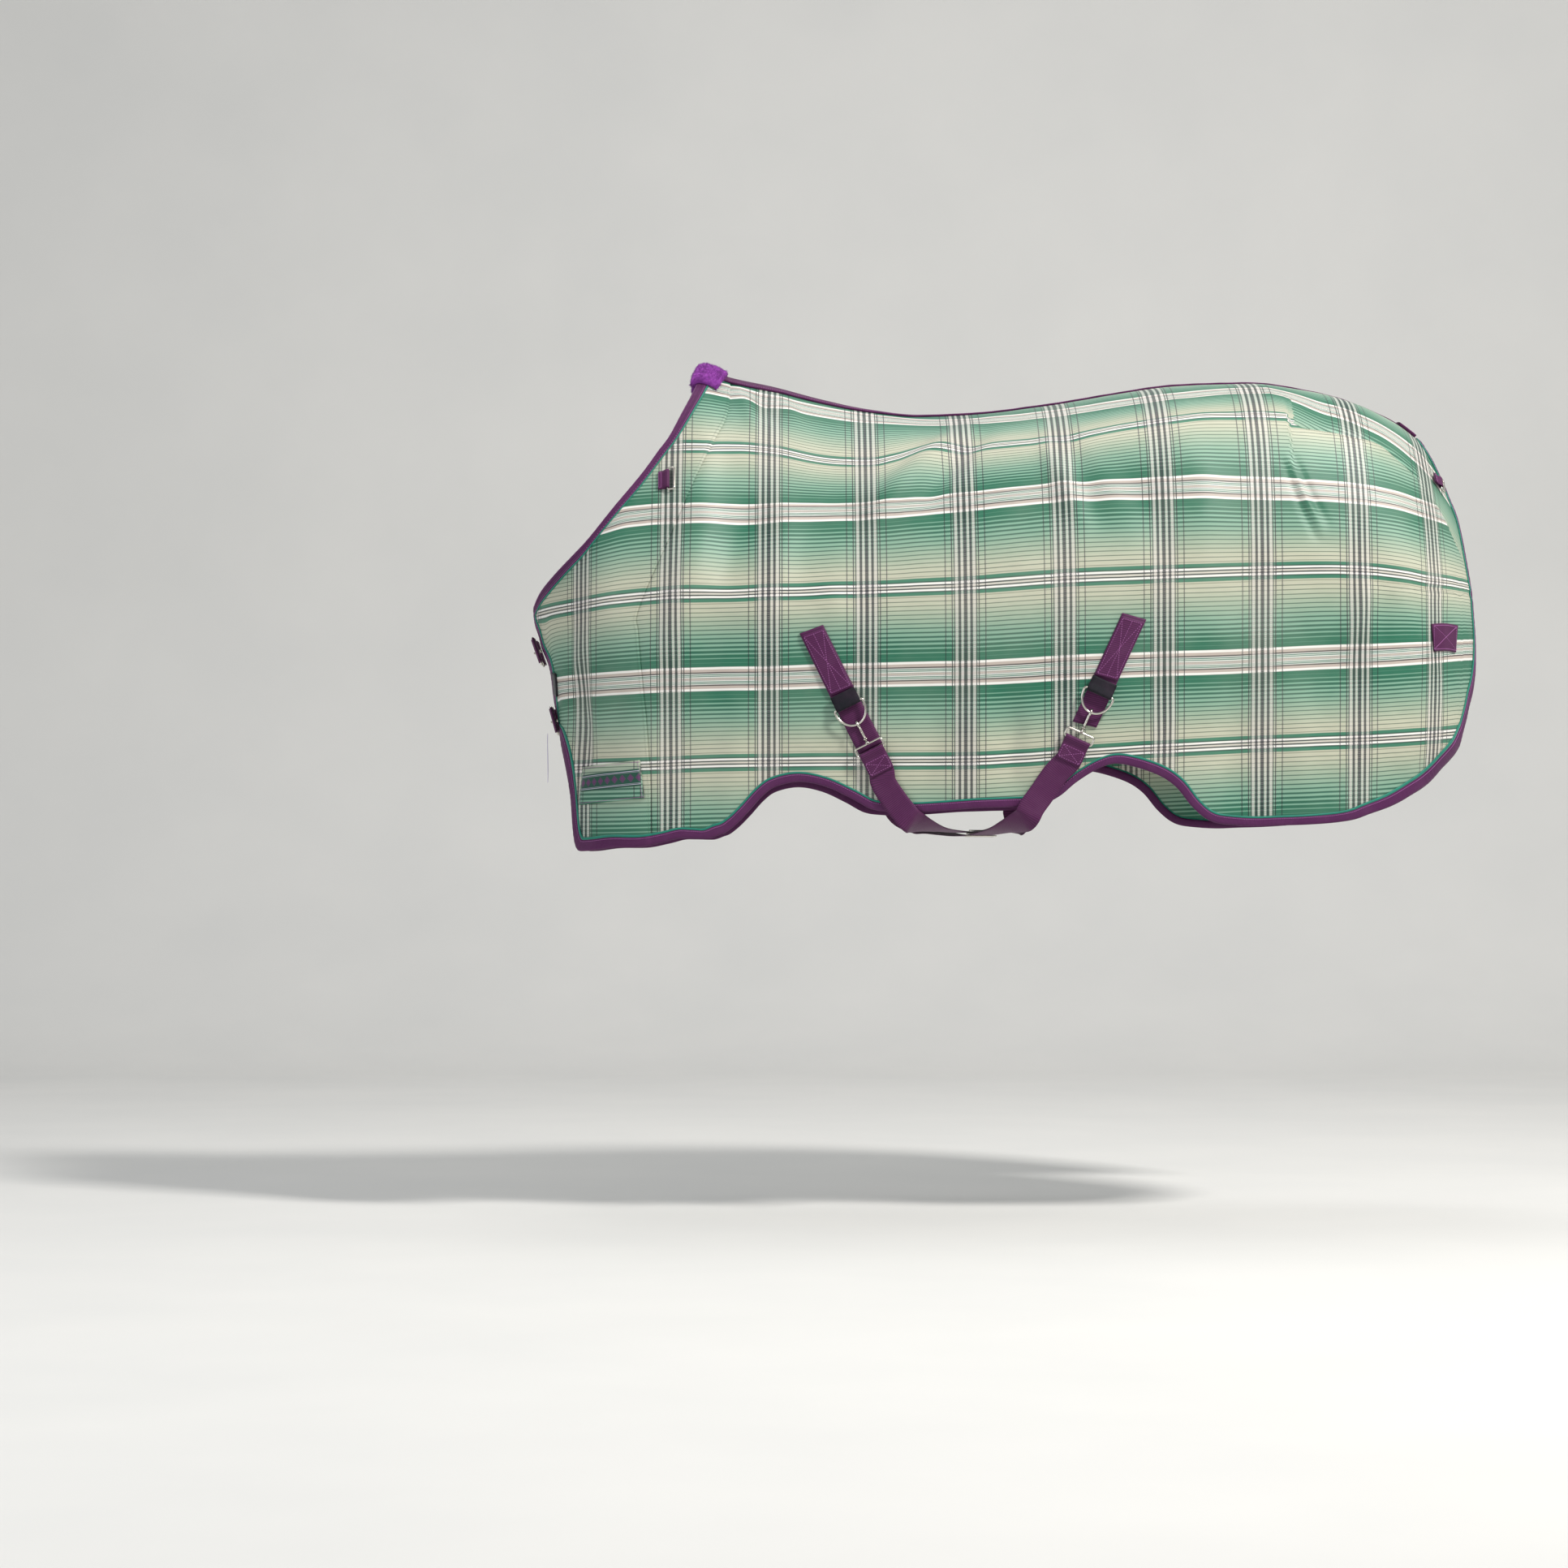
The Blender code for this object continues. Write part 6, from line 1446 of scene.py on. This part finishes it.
pad_v = flat_p + flat_n * lump[:, None]
pad = mesh_piece("wither_fleece", pad_v, tube_faces(nrow, ncirc, closed_ring=True, caps=True), FLEECE, replaces=["wither_fleece_pad"], orient="recalc")
# loose tufts of the pile
rng = np.random.default_rng(7)
count = 9000
pick = rng.integers(0, len(flat_p), count)
root, nrm = pad_v[pick], flat_n[pick]
lean_dir = rng.normal(0, 0.55, (count, 3))
tip_dir = nrm + lean_dir
tip_dir /= np.linalg.norm(tip_dir, axis=1)[:, None]
long = rng.uniform(0.0018, 0.0042, count)
sidev = np.cross(tip_dir, rng.normal(0, 1, (count, 3)))
sidev /= np.linalg.norm(sidev, axis=1)[:, None]
other = np.cross(tip_dir, sidev)
wide = rng.uniform(0.00030, 0.00060, count)
bend = rng.normal(0, 0.35, (count, 3))
tv, tf = [], []
for f, s in ((-0.15, 1.0), (0.5, 0.8), (1.0, 0.12)):
    mid = root + tip_dir * (long * f)[:, None] + bend * (long * max(f, 0) ** 2)[:, None] * 0.6
    for k in range(3):
        t = 2 * math.pi * k / 3
        tv.append(mid + (sidev * math.cos(t) + other * math.sin(t)) * (wide * s)[:, None])
tv = np.stack(tv, 1)
for i in range(count):
    b = i * 9
    for r0 in (0, 3):
        for k in range(3):
            j = (k + 1) % 3
            tf.append((b + r0 + k, b + r0 + j, b + r0 + 3 + j, b + r0 + 3 + k))
    tf.append((b + 6, b + 7, b + 8))
mesh_piece("wither_fleece_pile", tv.reshape(-1, 3), tf, FLEECE)

# ---------------------------------------------------------------- stitching meshes
sew_mesh("tape_stitching", STITCH["purple"], PURPLE_THREAD, 0.0032, 0.00055)
sew_mesh("seam_stitching", STITCH["dark"], DARK_THREAD, 0.0028, 0.00034)

# ---------------------------------------------------------------- hang-tag string
knot = Vector((-0.8665, -0.0560, -0.6245))
string = [knot + Vector(q) for q in ((0, 0, 0), (-0.0005, 0.0004, -0.016), (0.0, 0.0, -0.045), (0.0006, -0.0004, -0.075),
                                     (0.0004, 0.0010, -0.0905), (0.0000, 0.0040, -0.0945), (0.0002, 0.0066, -0.0900),
                                     (0.0008, 0.0050, -0.070), (0.0004, 0.0042, -0.045), (-0.0004, 0.0044, -0.018), (0, 0.0048, -0.004))]
string = curve_through(string, 0.0020)
c = bpy.data.curves.new("tag_string_loop", "CURVE")
c.dimensions = "3D"
c.bevel_depth = 0.0007
c.bevel_resolution = 3
c.use_fill_caps = True
s = c.splines.new("POLY")
s.points.add(len(string) - 1)
for k, p in enumerate(string):
    s.points[k].co = (*map(float, p), 1)
string_ob = bpy.data.objects.new("tag_string_loop", c)
c.materials.append(STRING)
link(string_ob)
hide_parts("tag_string")

# ---------------------------------------------------------------- studio
def studio_material():
    g = Graph("studio_floor", roughness=0.85, specular=0.2)
    p = g.place()
    n = g.noise(p, 2.2, 3.0)
    fine = g.noise(p, 180.0, 2.0)
    col = g.mix(n, lin(226, 225, 222), lin(216, 216, 214))
    return g.done(col, g.m("MULTIPLY_ADD", fine, 0.1, 0.8), fine, 0.05, 0.001)


prof = [(-9.0, -1.55), (4.2, -1.55)] + [(4.2 + 1.8 * math.sin(math.radians(t)), 0.25 - 1.8 * math.cos(math.radians(t))) for t in range(6, 91, 6)] + [(6.0, 7.0)]
verts = [(x, y, z) for y, z in prof for x in (-12.0, 12.0)]
mesh = bpy.data.meshes.new("studio_sweep")
mesh.from_pydata(verts, [], [(2 * k, 2 * k + 1, 2 * k + 3, 2 * k + 2) for k in range(len(prof) - 1)])
mesh.materials.append(studio_material())
mesh.shade_smooth()
sweep = bpy.data.objects.new("studio_sweep", mesh)
scene.collection.objects.link(sweep)


def lamp(name, at, to, size, power, colour=(1, 1, 1)):
    d = bpy.data.lights.new(name, "AREA")
    d.size = size
    d.energy = power
    d.color = colour
    ob = bpy.data.objects.new(name, d)
    ob.location = at
    ob.rotation_euler = (Vector(to) - Vector(at)).to_track_quat("-Z", "Y").to_euler()
    scene.collection.objects.link(ob)


lamp("key", (3.3, -3.1, 3.9), (0.1, 0.0, -0.35), 0.8, 430, (1.0, 0.975, 0.94))
lamp("fill", (-4.6, -3.6, 1.0), (-0.3, 0.0, -0.4), 3.2, 70, (0.93, 0.965, 1.0))
lamp("top", (-0.6, 1.2, 4.4), (0, 0, -0.2), 2.6, 60)
world = bpy.data.worlds.new("studio_world")
world.use_nodes = True
world.node_tree.nodes["Background"].inputs[0].default_value = (0.86, 0.88, 0.90, 1)
world.node_tree.nodes["Background"].inputs[1].default_value = 0.46
scene.world = world
scene.view_settings.view_transform = "Standard"
